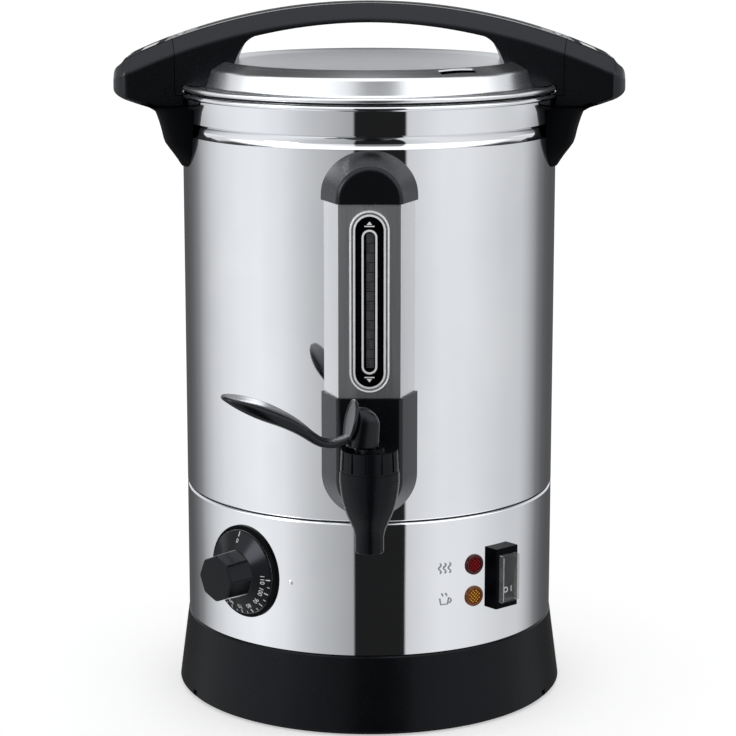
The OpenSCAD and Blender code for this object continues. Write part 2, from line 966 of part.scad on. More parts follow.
// Rubber washers on both sides of the pot wall
module tap_gaskets() {
    color("#7c1f1a")
    difference() {
        translate([0, -shank_end - 1 - nut_h - seat_gap, inlet_z])
            rotate([90, 0, 0])
                cylinder(r = washer_out_r, h = pot_r + 1.8 - shank_end - 1 - nut_h, $fn = 48);
        translate([0, 0, inlet_z])
            rotate([90, 0, 0])
                cylinder(r = shank_r + seat_gap, h = 2 * pot_r, $fn = 64);
        difference() {
            cylinder(r = pot_r + seat_gap, h = rim_z, $fn = 128);
            translate([0, 0, -over])
                cylinder(r = pot_in_r - seat_gap, h = rim_z + 2 * over, $fn = 128);
        }
    }
}

// Ribbed bonnet that closes the tap
module tap_bonnet() {
    color("#161617")
    translate([0, -tap_y, bonnet_z + seat_gap])
        difference() {
            cylinder(r1 = bonnet_r, r2 = bonnet_r - 0.5, h = bonnet_h - seat_gap);
            translate([0, 0, -over])
                cylinder(r = chamber_r, h = bonnet_h - bonnet_plate + over);
            cylinder(r = stem_r + fit_gap, h = 2 * bonnet_h, $fn = 48);
            for (i = [0 : rib_count - 1])
                rotate([0, 0, rib_offset + i * 360 / rib_count])
                    translate([-rib_w / 2, -bonnet_r - over, 1])
                        cube([rib_w, rib_depth + over + 0.3, bonnet_h]);
        }
}

// Slip washer under the lever, turns with it
module thrust_washer() {
    color("#2c2c2e")
    translate([0, -tap_y, bonnet_top + fit_gap])
        difference() {
            cylinder(r = washer_r, h = washer_h, $fn = 48);
            translate([0, 0, -over])
                cylinder(r = stem_r + fit_gap, h = washer_h + 2 * over, $fn = 48);
        }
}

// Stem that lifts the valve
module valve_stem() {
    color("#2a2a2c")
    translate([0, -tap_y, 0])
        difference() {
            union() {
                translate([0, 0, cup_z + cup_h + seat_gap])
                    cylinder(r = stem_r, h = stem_neck_z - cup_z - cup_h - seat_gap, $fn = 48);
                translate([0, 0, stem_neck_z - tiny])
                    cylinder(r = head_r, h = stem_top - stem_neck_z, $fn = 48);
                translate([0, 0, stem_flange_z])
                    cylinder(r = stem_flange_r, h = stem_flange_h, $fn = 48);
                translate([0, 0, cup_z + 2])
                    cylinder(r = 2.5, h = cup_h, $fn = 48);
            }
            translate([0, 0, pin_z])
                rotate([0, 0, lever_yaw])
                    rotate([90, 0, 0])
                        cylinder(r = pin_r + seat_gap, h = 40, center = true, $fn = 32);
        }
}

// Soft cup that closes the valve seat
module valve_cup() {
    color("#c9c4b8")
    translate([0, -tap_y, cup_z])
        difference() {
            cylinder(r1 = cup_r, r2 = cup_r - 1.5, h = cup_h, $fn = 64);
            translate([0, 0, 2 - seat_gap])
                cylinder(r = 2.5 + seat_gap, h = cup_h, $fn = 48);
        }
}

// Spring that presses the valve shut
module tap_spring() {
    color("#b9bcc0")
    translate([0, -tap_y, stem_flange_z + stem_flange_h + 0.1])
        linear_extrude(height = bonnet_top - bonnet_plate - stem_flange_z - stem_flange_h - 0.2,
            twist = -360 * spring_turns, slices = 16 * spring_turns, $fn = 12)
            translate([spring_r, 0])
                circle(r = spring_wire, $fn = 8);
}

// Side shape of the lever arm, along the arm and up
function arm_side(s, z) = concat(
    bend([s * 8, z + 10.5], [s * 21, z + 3.5], [s * 27, z + 8], 5),
    bend([s * 31, z + 11], [s * 44, z + 24.5], [s * 63, z + 30.5], 6),
    bend([s * 66, z + 31.4], [s * 74, z + 33.6], [s * 79.5, z + 33.4], 4),
    [[s * 81, z + 32.6]],
    bend([s * 80.5, z + 31.2], [s * 70, z + 23.6], [s * 58, z + 18.8], 4),
    bend([s * 54, z + 17.3], [s * 42, z + 12.4], [s * 33, z + 5.6], 5),
    bend([s * 29, z + 3.4], [s * 20, z + 0.1], [s * 9, z + 5.5], 5)
);

// Lever with a round shield and a hood over the stem
module tap_lever() {
    color("#19191b")
    translate([0, -tap_y, 0])
        rotate([0, 0, 180 + lever_yaw])
            difference() {
                union() {
                    intersection() {
                        translate([0, 30, 0])
                            rotate([90, 0, 0])
                                linear_extrude(height = 60)
                                    polygon(arm_side(lever_len / 81, bonnet_top));
                        linear_extrude(height = 2 * rim_z) {
                            polygon(concat(
                                bend([8, -5.5], [34, -5.4], [lever_len * 0.62, -11.9], 6),
                                bend([lever_len * 0.68, -12.8], [lever_len * 0.8, -13.6],
                                    [lever_len * 0.9, -10.6], 4),
                                bend([lever_len * 0.95, -8.4], [lever_len, -4.6], [lever_len, 0], 4),
                                bend([lever_len, 0.5], [lever_len, 4.6], [lever_len * 0.95, 8.4], 4),
                                bend([lever_len * 0.9, 10.6], [lever_len * 0.8, 13.6],
                                    [lever_len * 0.68, 12.8], 4),
                                bend([lever_len * 0.62, 11.9], [34, 5.4], [8, 5.5], 6)
                            ));
                        }
                    }
                    translate([disc_u, 0, disc_z])
                        rotate([0, 90 - disc_lean, 0])
                            cylinder(r = disc_r, h = disc_t, $fn = 64);
                    intersection() {
                        translate([0, 30, bonnet_top])
                            rotate([90, 0, 0])
                                linear_extrude(height = 60)
                                    polygon(concat(
                                        [[disc_u + 3, 4.6], [disc_u - 0.6, 23]],
                                        bend([5.4, 23.4], [-4.2, 22.4], [-5.3, 15], 6),
                                        bend([-5.3, 12.5], [-5, 8], [-4.8, 2.4], 4)
                                    ));
                        union() {
                            cylinder(r = hood_r, h = 2 * rim_z, $fn = 64);
                            translate([0, -hood_r, 0])
                                cube([disc_u + 3, 2 * hood_r, 2 * rim_z]);
                        }
                    }
                }
                translate([0, stem_r + free_gap, bonnet_top])
                    rotate([90, 0, 0])
                        linear_extrude(height = 2 * stem_r + 2 * free_gap)
                            polygon([
                                [-slot_back, -over],
                                [-slot_back, slot_top - 1.7],
                                [1.3 - slot_back, slot_top],
                                [head_r + 0.3, slot_top],
                                [head_r + 0.5, pin_z - bonnet_top],
                                [stem_r + 5, -over]
                            ]);
                translate([0, 0, pin_z])
                    rotate([90, 0, 0])
                        cylinder(r = pin_r + fit_gap, h = 2 * (pin_half + free_gap), center = true, $fn = 32);
            }
}

// Pin that the lever tilts on, held in the stem
module lever_pin() {
    color("#a5a8ac")
    translate([0, -tap_y, pin_z])
        rotate([0, 0, lever_yaw])
            rotate([90, 0, 0])
                cylinder(r = pin_r, h = 2 * pin_half, center = true, $fn = 32);
}

// Points of the lid from the rim inwards, moved along the normal by a gap
function lid_top(gap) = concat(
    [[pot_r, lid_flange_z + sheet + gap], [skirt_r + 2, lid_flange_z + sheet + gap]],
    arc(skirt_r + 2, lid_flange_z + sheet + 2, 2 - gap, 270, 190, 4),
    arc(skirt_top_r - shoulder_r, shoulder_z - shoulder_r, shoulder_r + gap, 12, 62, 5),
    arc(crest_r, crest_z - 2, 2 + gap, 62, 110, 4),
    bend([crest_r - 6, crest_z - 1.6 + gap], [crest_r * 0.55, crest_z - dish_depth + gap],
        [0, crest_z - dish_depth + gap], 10)
);

// Steel lid with rolled rim, raised skirt and dished middle
module lid_shell() {
    color("#d3d6da")
    difference() {
        rotate_extrude($fn = 128) {
            polygon(concat(lid_top(0), [for (i = [len(lid_top(0)) - 1 : -1 : 0]) lid_top(-sheet)[i]]));
            translate([pot_r + bead_off, lid_bead_z])
                circle(r = bead_r, $fn = 48);
            translate([plug_r - sheet, lid_flange_z - plug_h])
                square([sheet, plug_h + sheet / 2]);
        }
        for (x = [-lid_screw_x, lid_screw_x], y = [-lid_screw_y, lid_screw_y])
            translate([x, y, lid_z])
                cylinder(r = lid_screw_r + seat_gap, h = 40, $fn = 32);
        rotate([0, 0, vent_angle])
            translate([-vent_w / 2, -crest_r - 1 - vent_depth, lid_z + 5])
                cube([vent_w, vent_depth, 30]);
    }
}

// Soft seal between lid and pot rim
module lid_seal() {
    color("#1a1a1a")
    translate([0, 0, rim_z + free_gap])
        difference() {
            cylinder(r = seal_out_r, h = lid_flange_z - rim_z - free_gap - fit_gap, $fn = 128);
            translate([0, 0, -over])
                cylinder(r = plug_r + fit_gap, h = 8, $fn = 128);
        }
}

// One quarter of the handle bar, flared towards its end
module bar_quarter() {
    intersection() {
        translate([0, 0, arch_cz])
            rotate([0, 0, -bar_flare])
                rotate([90, 0, 0])
                    rotate_extrude($fn = 256)
                        polygon([
                            [arch_r - 90, -2 * grip_half],
                            [arch_r, -2 * grip_half],
                            [arch_r, grip_half],
                            [arch_r - bar_drop, grip_half + bar_chamfer],
                            [arch_r - 90, grip_half + bar_chamfer]
                        ]);
        translate([0, -60, leg_low_z])
            cube([tip_x + 20, 60, arch_z - leg_low_z + 10]);
    }
}

// Half of the bar on one side of the pot
module bar_half() {
    bar_quarter();
    mirror([0, 1, 0])
        bar_quarter();
}

// Arch handle fixed to the lid
module lid_handle() {
    color("#232325")
    difference() {
        intersection() {
            union() {
                bar_half();
                mirror([1, 0, 0])
                    bar_half();
            }
            translate([0, 0, hook_z])
                cylinder(r = joint_r, h = 2 * arch_rise, $fn = 128);
        }
        translate([0, 80, 0])
            rotate([90, 0, 0])
                linear_extrude(height = 160)
                    polygon(concat(
                        [[-arch_open_x - 1.5, lid_z]],
                        bend([-arch_open_x, crest_z - 3], [-arch_spring_x - 8, arch_under_z - 10.5],
                            [-arch_spring_x, arch_under_cz + sqrt(arch_under_r * arch_under_r
                                - arch_spring_x * arch_spring_x)], 6),
                        [for (i = [-5 : 5]) let (x = arch_spring_x * i / 6)
                            [x, arch_under_cz + sqrt(arch_under_r * arch_under_r - x * x)]],
                        bend([arch_spring_x, arch_under_cz + sqrt(arch_under_r * arch_under_r
                                - arch_spring_x * arch_spring_x)],
                            [arch_spring_x + 8, arch_under_z - 10.5], [arch_open_x, crest_z - 3], 6),
                        [[arch_open_x + 1.5, lid_z]]
                    ));
        rotate_extrude($fn = 128)
            polygon(concat(
                [[0, lid_z - 30], [rim_r + free_gap, lid_z - 30], [rim_r + free_gap, bead_clear_z]],
                [for (p = lid_top(0.1)) p[0] < pot_r - 2 ? p : [p[0], bead_clear_z]]
            ));
        for (x = [-lid_screw_x, lid_screw_x], y = [-lid_screw_y, lid_screw_y])
            translate([x, y, lid_z])
                cylinder(r = lid_screw_r + seat_gap, h = crest_z - lid_z - 4 + lid_screw_len, $fn = 32);
        inlay_band(inlay_half + seat_gap, inlay_angle + 0.02, inlay_sink, 10);
    }
}

// Curved strip on top of the arch
module inlay_band(half, angle, sink, rise) {
    translate([0, -half, arch_cz])
        rotate([-90, -90 - angle, 0])
            rotate_extrude(angle = 2 * angle, $fn = 256)
                translate([arch_r - sink, 0])
                    square([sink + rise, 2 * half]);
}

// Dark grip strip set into the top of the arch
module handle_inlay() {
    color("#0b0b0c")
        inlay_band(inlay_half, inlay_angle, inlay_sink - seat_gap, inlay_t - inlay_sink);
}

// Screws through the lid into the arch handle
module lid_screws() {
    color("#a5a8ac")
    for (x = [-lid_screw_x, lid_screw_x], y = [-lid_screw_y, lid_screw_y])
        translate([x, y, crest_z - 7.2]) {
            cylinder(r = lid_screw_head_r, h = lid_screw_head_h, $fn = 32);
            cylinder(r = lid_screw_r, h = 3 + lid_screw_len, $fn = 32);
        }
}

// Outline of a side handle in the front view
module side_outline() {
    polygon(concat(
        [[pot_r - 4, rim_z + 45], [tip_x - 7.5, rim_z + 45], [tip_x - 7.5, bar_z(tip_x - 7.5) - 0.3]],
        bend([tip_x - 4, bar_z(tip_x - 7.5) - 3.8], [tip_x, rim_z + 14], [tip_x, rim_z + 7], 4),
        bend([tip_x, rim_z + 2], [tip_x - 1, rim_z - 1.6], [tip_x - 9.5, rim_z - 4.4], 4),
        bend([tip_x - 15, rim_z - 6.4], [tip_x - 21, rim_z - 8.2], [tip_x - 26.6, rim_z - 10.2], 4),
        [[pot_r - 4, rim_z - 10.2]]
    ));
}

// Profile of the leg against the pot, distance out and height
function leg_side() = concat(
    [[pot_r - 4, leg_top_z], [pot_r + 22, leg_top_z - 1.6]],
    bend([pot_r + 16.6, rim_z - 10.5], [pot_r + 13.6, rim_z - 17], [pot_r + 11.6, rim_z - 27], 6),
    bend([pot_r + 10.4, rim_z - 30.5], [pot_r + 5.4, rim_z - 36.5], [pot_r + 1.8, rim_z - 42.5], 4),
    [[pot_r + 0.6, leg_low_z], [pot_r - 4, leg_low_z]]
);

// Side handle on +X, with the leg that is bolted to the pot
module side_handle() {
    difference() {
        union() {
            intersection() {
                bar_half();
                translate([0, 80, 0])
                    rotate([90, 0, 0])
                        linear_extrude(height = 160)
                            side_outline();
                translate([0, 0, leg_low_z])
                    linear_extrude(height = 200) {
                        translate([0, -20])
                            square([tip_x, 40]);
                        translate([0, -40])
                            square([tip_x - 14, 80]);
                        for (y = [-20, 20])
                            translate([tip_x - 14, y])
                                circle(r = 14);
                    }
            }
            intersection() {
                rotate_extrude($fn = 128)
                    polygon(leg_side());
                translate([pot_r - 30, 0, 0])
                    rotate([90, 0, 90])
                        linear_extrude(height = 70)
                            polygon(concat(
                                [[leg_half_top, leg_top_z + over], [leg_half_top, leg_top_z - 4]],
                                bend([leg_half_low + 2, leg_low_z + 10], [leg_half_low, leg_low_z],
                                    [leg_half_low - 8, leg_low_z], 5),
                                bend([8 - leg_half_low, leg_low_z], [-leg_half_low, leg_low_z],
                                    [-leg_half_low - 2, leg_low_z + 10], 5),
                                [[-leg_half_top, leg_top_z - 4], [-leg_half_top, leg_top_z + over]]
                            ));
            }
        }
        rotate_extrude($fn = 128)
            polygon([
                [0, leg_low_z - 10],
                [pot_r + 0.1, leg_low_z - 10],
                [pot_r + 0.1, rim_z - 2 * bead_r - 0.6],
                [rim_r + free_gap, rim_z - 2 * bead_r - 0.6],
                [rim_r + free_gap, hook_z - free_gap],
                [joint_r + free_gap, hook_z - free_gap],
                [joint_r + free_gap, rim_z + 80],
                [0, rim_z + 80]
            ]);
        for (z = bolt_zs)
            translate([pot_r - 20, 0, z])
                rotate([0, 90, 0])
                    cylinder(r = bolt_r + seat_gap, h = 30, $fn = 32);
        translate([tab_x, tab_y, hook_z])
            cube([tab_line, 5, tab_h]);
        translate([tab_x - 2 * tab_w, tab_y, hook_z + tab_h - tab_line])
            cube([2 * tab_w + tab_line, 5, tab_line]);
        translate([tab_x - 2 * tab_w, tab_y, hook_z - tab_line / 2])
            cube([2 * tab_w + tab_line, 5, tab_line]);
    }
}

// Left side handle
module side_handle_left() {
    color("#1e1e20")
        rotate([0, 0, 180])
            side_handle();
}

// Right side handle
module side_handle_right() {
    color("#1e1e20")
        side_handle();
}

// Bolts from inside the pot into the side handles
module handle_bolts() {
    color("#c4c7cb")
    for (a = [0, 180], z = bolt_zs)
        rotate([0, 0, a])
            translate([pot_in_r - 0.2 - bolt_head_h, 0, z])
                rotate([0, 90, 0]) {
                    cylinder(r = bolt_head_r, h = bolt_head_h, $fn = 32);
                    cylinder(r = bolt_r, h = bolt_head_h + bolt_grip, $fn = 32);
                }
}

base_ring();
foot_ring();
base_plate();
base_screws();
lower_band();
seam_gasket();
pot();
heat_spreader();
heating_element();
thermal_cutout();
sensor_bulb();
terminal_block();
cable_gland();
gland_nut();
dial_ring();
thermostat_body();
thermostat_shaft();
thermostat_knob();
switch_housing();
rocker_pin();
switch_rocker();
switch_boot();
red_lamp();
amber_lamp();
lamp_holders();
gauge_cover();
gauge_cap();
tap_shroud();
gauge_bezel();
gauge_panel();
sight_tube();
tube_seals();
tap_body();
tap_nut();
tap_gaskets();
tap_bonnet();
thrust_washer();
valve_stem();
valve_cup();
tap_spring();
tap_lever();
lever_pin();
lid_shell();
lid_seal();
lid_handle();
handle_inlay();
lid_screws();
side_handle_left();
side_handle_right();
handle_bolts();
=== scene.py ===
"""Surfaces, prints and studio stage for a mulled wine urn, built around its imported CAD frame."""

import json
import math

import bmesh
import bpy
from mathutils import Matrix, Vector

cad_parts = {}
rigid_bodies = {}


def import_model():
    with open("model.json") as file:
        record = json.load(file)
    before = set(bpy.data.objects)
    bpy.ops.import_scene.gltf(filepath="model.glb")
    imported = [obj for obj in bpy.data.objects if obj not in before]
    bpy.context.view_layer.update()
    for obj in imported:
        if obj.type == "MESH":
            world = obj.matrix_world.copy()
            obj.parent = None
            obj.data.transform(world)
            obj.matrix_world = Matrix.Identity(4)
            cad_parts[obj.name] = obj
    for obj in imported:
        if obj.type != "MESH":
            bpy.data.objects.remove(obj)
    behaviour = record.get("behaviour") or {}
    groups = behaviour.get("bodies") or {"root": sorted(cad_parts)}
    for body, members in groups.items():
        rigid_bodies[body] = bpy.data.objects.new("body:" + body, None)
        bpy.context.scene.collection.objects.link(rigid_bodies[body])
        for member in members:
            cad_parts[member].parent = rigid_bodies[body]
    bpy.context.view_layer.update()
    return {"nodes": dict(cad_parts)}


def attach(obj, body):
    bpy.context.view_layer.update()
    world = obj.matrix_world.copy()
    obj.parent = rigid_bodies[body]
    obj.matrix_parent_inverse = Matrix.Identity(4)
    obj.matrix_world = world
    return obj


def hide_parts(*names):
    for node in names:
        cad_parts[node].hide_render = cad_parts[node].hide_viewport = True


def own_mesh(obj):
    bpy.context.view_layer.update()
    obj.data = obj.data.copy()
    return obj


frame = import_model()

MM = 0.001

bl_info = {
    "name": "Mulled Wine Urn Looks",
    "version": (1, 0, 0),
    "blender": (4, 5, 0),
    "location": "View3D > Sidebar > Urn",
    "description": "Surfaces, printed marks and a studio stage for a mulled wine urn",
    "category": "Object",
}

# Sizes shared by several pieces, in millimetres and degrees
POT_R, SHEET = 110.0, 0.8
BAND_LOW, BAND_TOP = 46.65, 124.6
SEAM_Z, RIM_Z = 125.5, 359.9
BEAD_R, BEAD_X, LID_BEAD_Z = 1.5, POT_R + 0.5, 362.8
CREST_R, CREST_Z, DISH = 87.5, 377.8, 7.0
COLUMN_Y, COVER_Y = 128.4, 127.2
DIAL_ANGLE, DIAL_TILT, DIAL_Z = -39.5, -5.0, 90.0
LAMP_ANGLE, LAMP_ZS, LAMP_R, LAMP_NECK_R = 32.8, (95.9, 77.1), 6.0, 4.9
SWITCH_ANGLE, SWITCH_Z = 41.5, 87.2

# Points round the pot and lid, round a large cutter and round a bore
FINE, LARGE, SMALL = 256, 192, 48

# Angles between faces, in degrees, up to which pieces are shaded smooth
SOFT, CRISP = 32.0, 30.0


class Signal:
    """One value in a material or world; arithmetic on it adds nodes."""

    def __init__(self, nodes, socket):
        self.nodes = nodes
        self.socket = socket

    def _math(self, operation, other, swap=False):
        pair = (other, self) if swap else (self, other)
        return self.nodes.add("ShaderNodeMath", {"operation": operation}, {0: pair[0], 1: pair[1]})

    def __add__(self, other):
        return self._math("ADD", other)

    def __radd__(self, other):
        return self._math("ADD", other, True)

    def __sub__(self, other):
        return self._math("SUBTRACT", other)

    def __rsub__(self, other):
        return self._math("SUBTRACT", other, True)

    def __mul__(self, other):
        return self._math("MULTIPLY", other)

    def __rmul__(self, other):
        return self._math("MULTIPLY", other, True)

    def __truediv__(self, other):
        return self._math("DIVIDE", other)

    def __rtruediv__(self, other):
        return self._math("DIVIDE", other, True)

    def __pow__(self, other):
        return self._math("POWER", other)

    def most(self, other):
        """The larger of two values."""
        return self._math("MAXIMUM", other)

    def toward(self, other, factor):
        """This value where the factor is 0, the other where it is 1."""
        return self + factor * (other - self)

    def ramp(self, low, high):
        """0 below low, 1 above high, smooth between."""
        sockets = {"Value": self, "From Min": low, "From Max": high}
        return self.nodes.add("ShaderNodeMapRange", {"interpolation_type": "SMOOTHSTEP"}, sockets)


class Nodes:
    """The nodes of a material or a world."""

    def __init__(self, tree):
        self.tree = tree

    def add(self, kind, options, sockets, out=0):
        """A node with its options, and then the values or links of its sockets."""
        node = self.tree.nodes.new(kind)
        for key, value in options.items():
            if key == "stops":
                self.set_stops(node.color_ramp.elements, value)
            else:
                setattr(node, key, value)
        for key, value in sockets.items():
            self.plug(value, node.inputs[key])
        return Signal(self, node.outputs[out])

    def set_stops(self, stops, levels):
        """Greys of a ramp as (position, level)."""
        while len(stops) < len(levels):
            stops.new(0.5)
        for stop, (position, level) in zip(stops, levels):
            stop.position = position
            stop.color = (level, level, level, 1)

    def plug(self, value, socket):
        if isinstance(value, Signal):
            self.tree.links.new(value.socket, socket)
        else:
            socket.default_value = value


class Paint(Nodes):
    """A material whose signals are built in plain arithmetic."""

    NOISE_ROUGHNESS = 0.55

    def __init__(self, name, **constants):
        self.material = bpy.data.materials.new(name)
        self.material.use_nodes = True
        super().__init__(self.material.node_tree)
        self.shader = self.tree.nodes["Principled BSDF"]
        for socket, value in constants.items():
            self.shader.inputs[socket.replace("_", " ")].default_value = value

    def drive(self, name, signal):
        self.plug(signal, self.shader.inputs[name])

    def place(self):
        return self.add("ShaderNodeTexCoord", {}, {}, out="Object")

    def axes(self):
        """The three parts of the place on the object, in metres."""
        split = self.add("ShaderNodeSeparateXYZ", {}, {0: self.place()})
        return [Signal(self, part) for part in split.socket.node.outputs]

    def vector(self, x, y, z):
        return self.add("ShaderNodeCombineXYZ", {}, {0: x, 1: y, 2: z})

    def noise(self, waves, detail, at=None):
        """Noise with so many waves to the metre, one number or one for each axis."""
        stretch = waves if isinstance(waves, tuple) else (waves, waves, waves)
        where = self.place() if at is None else at
        scaled = self.add("ShaderNodeVectorMath", {"operation": "MULTIPLY"}, {0: where, 1: stretch})
        sockets = {"Vector": scaled, "Scale": 1.0, "Detail": detail, "Roughness": self.NOISE_ROUGHNESS}
        return self.add("ShaderNodeTexNoise", {}, sockets)

    def mix(self, factor, first, second):
        """A colour between two colours."""
        ends = [c if isinstance(c, Signal) else (*c, 1.0) for c in (first, second)]
        return self.add("ShaderNodeMix", {"data_type": "RGBA"}, {0: factor, 6: ends[0], 7: ends[1]}, out=2)

    def bump(self, height, depth, strength):
        """Relief so many metres deep."""
        sockets = {"Height": height, "Distance": depth, "Strength": strength}
        self.drive("Normal", self.add("ShaderNodeBump", {}, sockets))


PAINTS = {}


def paint_of(maker):
    """Each material is made once and shared."""
    if maker.__name__ not in PAINTS:
        PAINTS[maker.__name__] = maker().material
    return PAINTS[maker.__name__]


def settings():
    return bpy.context.scene.urn_looks


def mirror_steel():
    """Polished sheet with faint lines round the pot."""
    paint = Paint("mirror_steel", Metallic=1.0)
    lines = paint.noise((5, 5, 2600), 4)
    cloud = paint.noise((14, 14, 10), 3)
    paint.drive("Base Color", paint.mix(cloud.ramp(0.3, 0.7), (0.80, 0.81, 0.825), settings().steel_colour))
    paint.drive("Roughness", settings().steel_roughness + 0.02 * lines + 0.02 * cloud)
    paint.bump(lines, 0.000001, 0.2)
    return paint


def spun_steel():
    """Lid sheet with rings left by turning, and a painted reflection in its dish: darker in a fan across the
    middle, lighter to the sides.
    """
    fan_x, fan_near, fan_far, dish_r, crest_r = 0.013, 0.001, 0.0115, 0.078, 0.084
    paint = Paint("spun_steel", Metallic=1.0)
    x, y, z = paint.axes()
    radius = (x * x + y * y) ** 0.5
    rings = paint.noise(3200, 3, at=paint.vector(radius, 0.0, z))
    cloud = paint.noise(11, 3)
    sheet = paint.mix(cloud.ramp(0.3, 0.7), (0.82, 0.83, 0.84), (0.88, 0.885, 0.89))
    # Painted reflection: the fan and the dish edge set how far the sheet is darkened, and the turning rings
    # vary it
    fan = 1.0 - ((x + fan_x) * (x + fan_x)).ramp(fan_near, fan_far)
    shade = fan * (1.0 - radius.ramp(dish_r, crest_r)) * (0.75 + 0.4 * rings)
    paint.drive("Base Color", paint.mix(shade, sheet, (0.35, 0.355, 0.365)))
    paint.drive("Roughness", 0.18 + 0.10 * rings + 0.05 * cloud)
    paint.bump(rings, 0.000003, 0.3)
    return paint


def brushed_steel():
    """Column cover brushed up and down."""
    paint = Paint("brushed_steel", Metallic=1.0)
    lines = paint.noise((2600, 2600, 22), 4)
    wide = paint.noise((260, 260, 6), 2)
    paint.drive("Base Color", paint.mix(lines, (0.68, 0.68, 0.685), (0.945, 0.945, 0.95)))
    paint.drive("Roughness", 0.22 + 0.12 * lines + 0.06 * wide)
    paint.bump(lines, 0.000006, 0.4)
    return paint


def silver_paint():
    """Satin silver of the window frame and the slot outline."""
    paint = Paint("silver_paint", Metallic=0.15, Specular_IOR_Level=0.5)
    cloud = paint.noise(90, 3)
    flake = paint.noise(3200, 2)
    paint.drive("Base Color", paint.mix(flake, (0.87, 0.872, 0.88), (0.98, 0.982, 0.988)))
    paint.drive("Roughness", 0.3 + 0.12 * cloud)
    paint.bump(flake, 0.000006, 0.3)
    return paint


def plain_steel():
    """Screws, pins, nuts, the spring and the base plate."""
    paint = Paint("plain_steel", Metallic=1.0)
    cloud = paint.noise(70, 4)
    paint.drive("Base Color", paint.mix(cloud, (0.50, 0.51, 0.52), (0.64, 0.645, 0.65)))
    paint.drive("Roughness", 0.26 + 0.16 * cloud)
    paint.bump(paint.noise(2400, 2), 0.000008, 0.4)
    return paint


def dull_metal():
    """Heating ring, its plate and the control bodies under the pot."""
    paint = Paint("dull_metal", Metallic=1.0)
    grain = paint.noise(900, 3)
    paint.drive("Base Color", paint.mix(paint.noise(60, 4), (0.26, 0.25, 0.24), (0.46, 0.45, 0.43)))
    paint.drive("Roughness", 0.38 + 0.2 * grain)
    paint.bump(grain, 0.00003, 0.5)
    return paint


def black_paint(name, specular, rough, low, high):
    """Black moulded plastic with a fine grain."""
    paint = Paint(name, Specular_IOR_Level=specular, Specular_Tint=(0.90, 0.94, 1.0, 1.0))
    grain = paint.noise(2100, 2)
    cloud = paint.noise(45, 3)
    paint.drive("Base Color", paint.mix(cloud, low, high))
    paint.drive("Roughness", rough + 0.07 * grain + 0.05 * cloud)
    paint.bump(grain, 0.000018, settings().plastic_grain)
    return paint


def satin_black():
    """Handles, column ends, valve stem and slip washer."""
    low, high = (0.0027, 0.0031, 0.0043), settings().plastic_colour
    return black_paint("satin_black", 0.36, settings().plastic_roughness, low, high)


def matt_black():
    """Base, tap and cable gland."""
    low, high = (0.0025, 0.0028, 0.0040), (0.0038, 0.0042, 0.0056)
    return black_paint("matt_black", 0.165, settings().plastic_roughness, low, high)


def deep_black():
    """Window panel, level ticks, dial ring, switch, rocker, and the lower faces of the side handles, darker
    as painted shade under the handle.
    """
    low, high = (0.0006, 0.0007, 0.0014), (0.0013, 0.0015, 0.0024)
    return black_paint("deep_black", 0.04, settings().plastic_roughness + 0.06, low, high)


def dial_black():
    """Shiny black of the dial."""
    low, high = (0.0020, 0.0022, 0.0034), (0.0032, 0.0035, 0.0050)
    return black_paint("dial_black", 0.19, 0.12, low, high)


def gloss_black():
    """Smoother black of the lever."""
    low, high = (0.0020, 0.0022, 0.0032), (0.0034, 0.0037, 0.0050)
    return black_paint("gloss_black", 0.32, 0.18, low, high)


def dull_black():
    """Matt dark patches under the white painted highlights on the handle tops, the dark part of a painted
    reflection.
    """
    low, high = (0.018, 0.0188, 0.021), (0.028, 0.029, 0.032)
    return black_paint("dull_black", 0.02, 0.6, low, high)


def grip_rubber():
    """Ribbed strip on the arch, dull and dark."""
    paint = Paint("grip_rubber", Specular_IOR_Level=0.35)
    grain = paint.noise(1400, 3)
    paint.drive("Base Color", paint.mix(paint.noise(60, 3), (0.0035, 0.0035, 0.0038), (0.006, 0.006, 0.0064)))
    paint.drive("Roughness", 0.45 + 0.15 * grain)
    paint.bump(grain, 0.00004, 0.5)
    return paint


def grained(name, noise, colours, rough, relief=None, alpha=None, **constants):
    """A finish with one noise in its colour and roughness, and in its relief or alpha if it has any."""
    paint = Paint(name, **constants)
    grain = paint.noise(*noise)
    paint.drive("Base Color", paint.mix(grain, *colours))
    paint.drive("Roughness", rough[0] + rough[1] * grain)
    if alpha:
        paint.drive("Alpha", alpha[0] + alpha[1] * grain)
    if relief:
        paint.bump(grain, *relief)
    return paint


def etched_steel():
    """Matt grey of the marks raised on the band, and the painted shade laid in the groove of the window
    frame.
    """
    colours = (0.26, 0.265, 0.275), (0.40, 0.405, 0.42)
    return grained("etched_steel", (300, 3), colours, (0.34, 0.14), Metallic=0.8)


def copper():
    """Bulb of the thermostat."""
    colours = (0.48, 0.20, 0.10), (0.66, 0.32, 0.19)
    return grained("copper", (80, 4), colours, (0.25, 0.2), Metallic=1.0)


def soft_rubber():
    """Seals, gaskets and the foot ring."""
    colours, relief = ((0.007, 0.007, 0.007), (0.016, 0.016, 0.016)), (0.00003, 0.5)
    return grained("soft_rubber", (700, 4), colours, (0.62, 0.2), relief, Specular_IOR_Level=0.3)


def red_rubber():
    """Silicone washers and tube seals."""
    colours, relief = ((0.17, 0.016, 0.012), (0.25, 0.028, 0.02)), (0.00003, 0.4)
    return grained("red_rubber", (600, 4), colours, (0.5, 0.18), relief, Specular_IOR_Level=0.35)


def pale_plastic():
    """Terminal block, valve cup and lamp holders."""
    colours, relief = ((0.50, 0.47, 0.41), (0.66, 0.63, 0.56)), (0.00002, 0.4)
    return grained("pale_plastic", (500, 4), colours, (0.4, 0.16), relief)


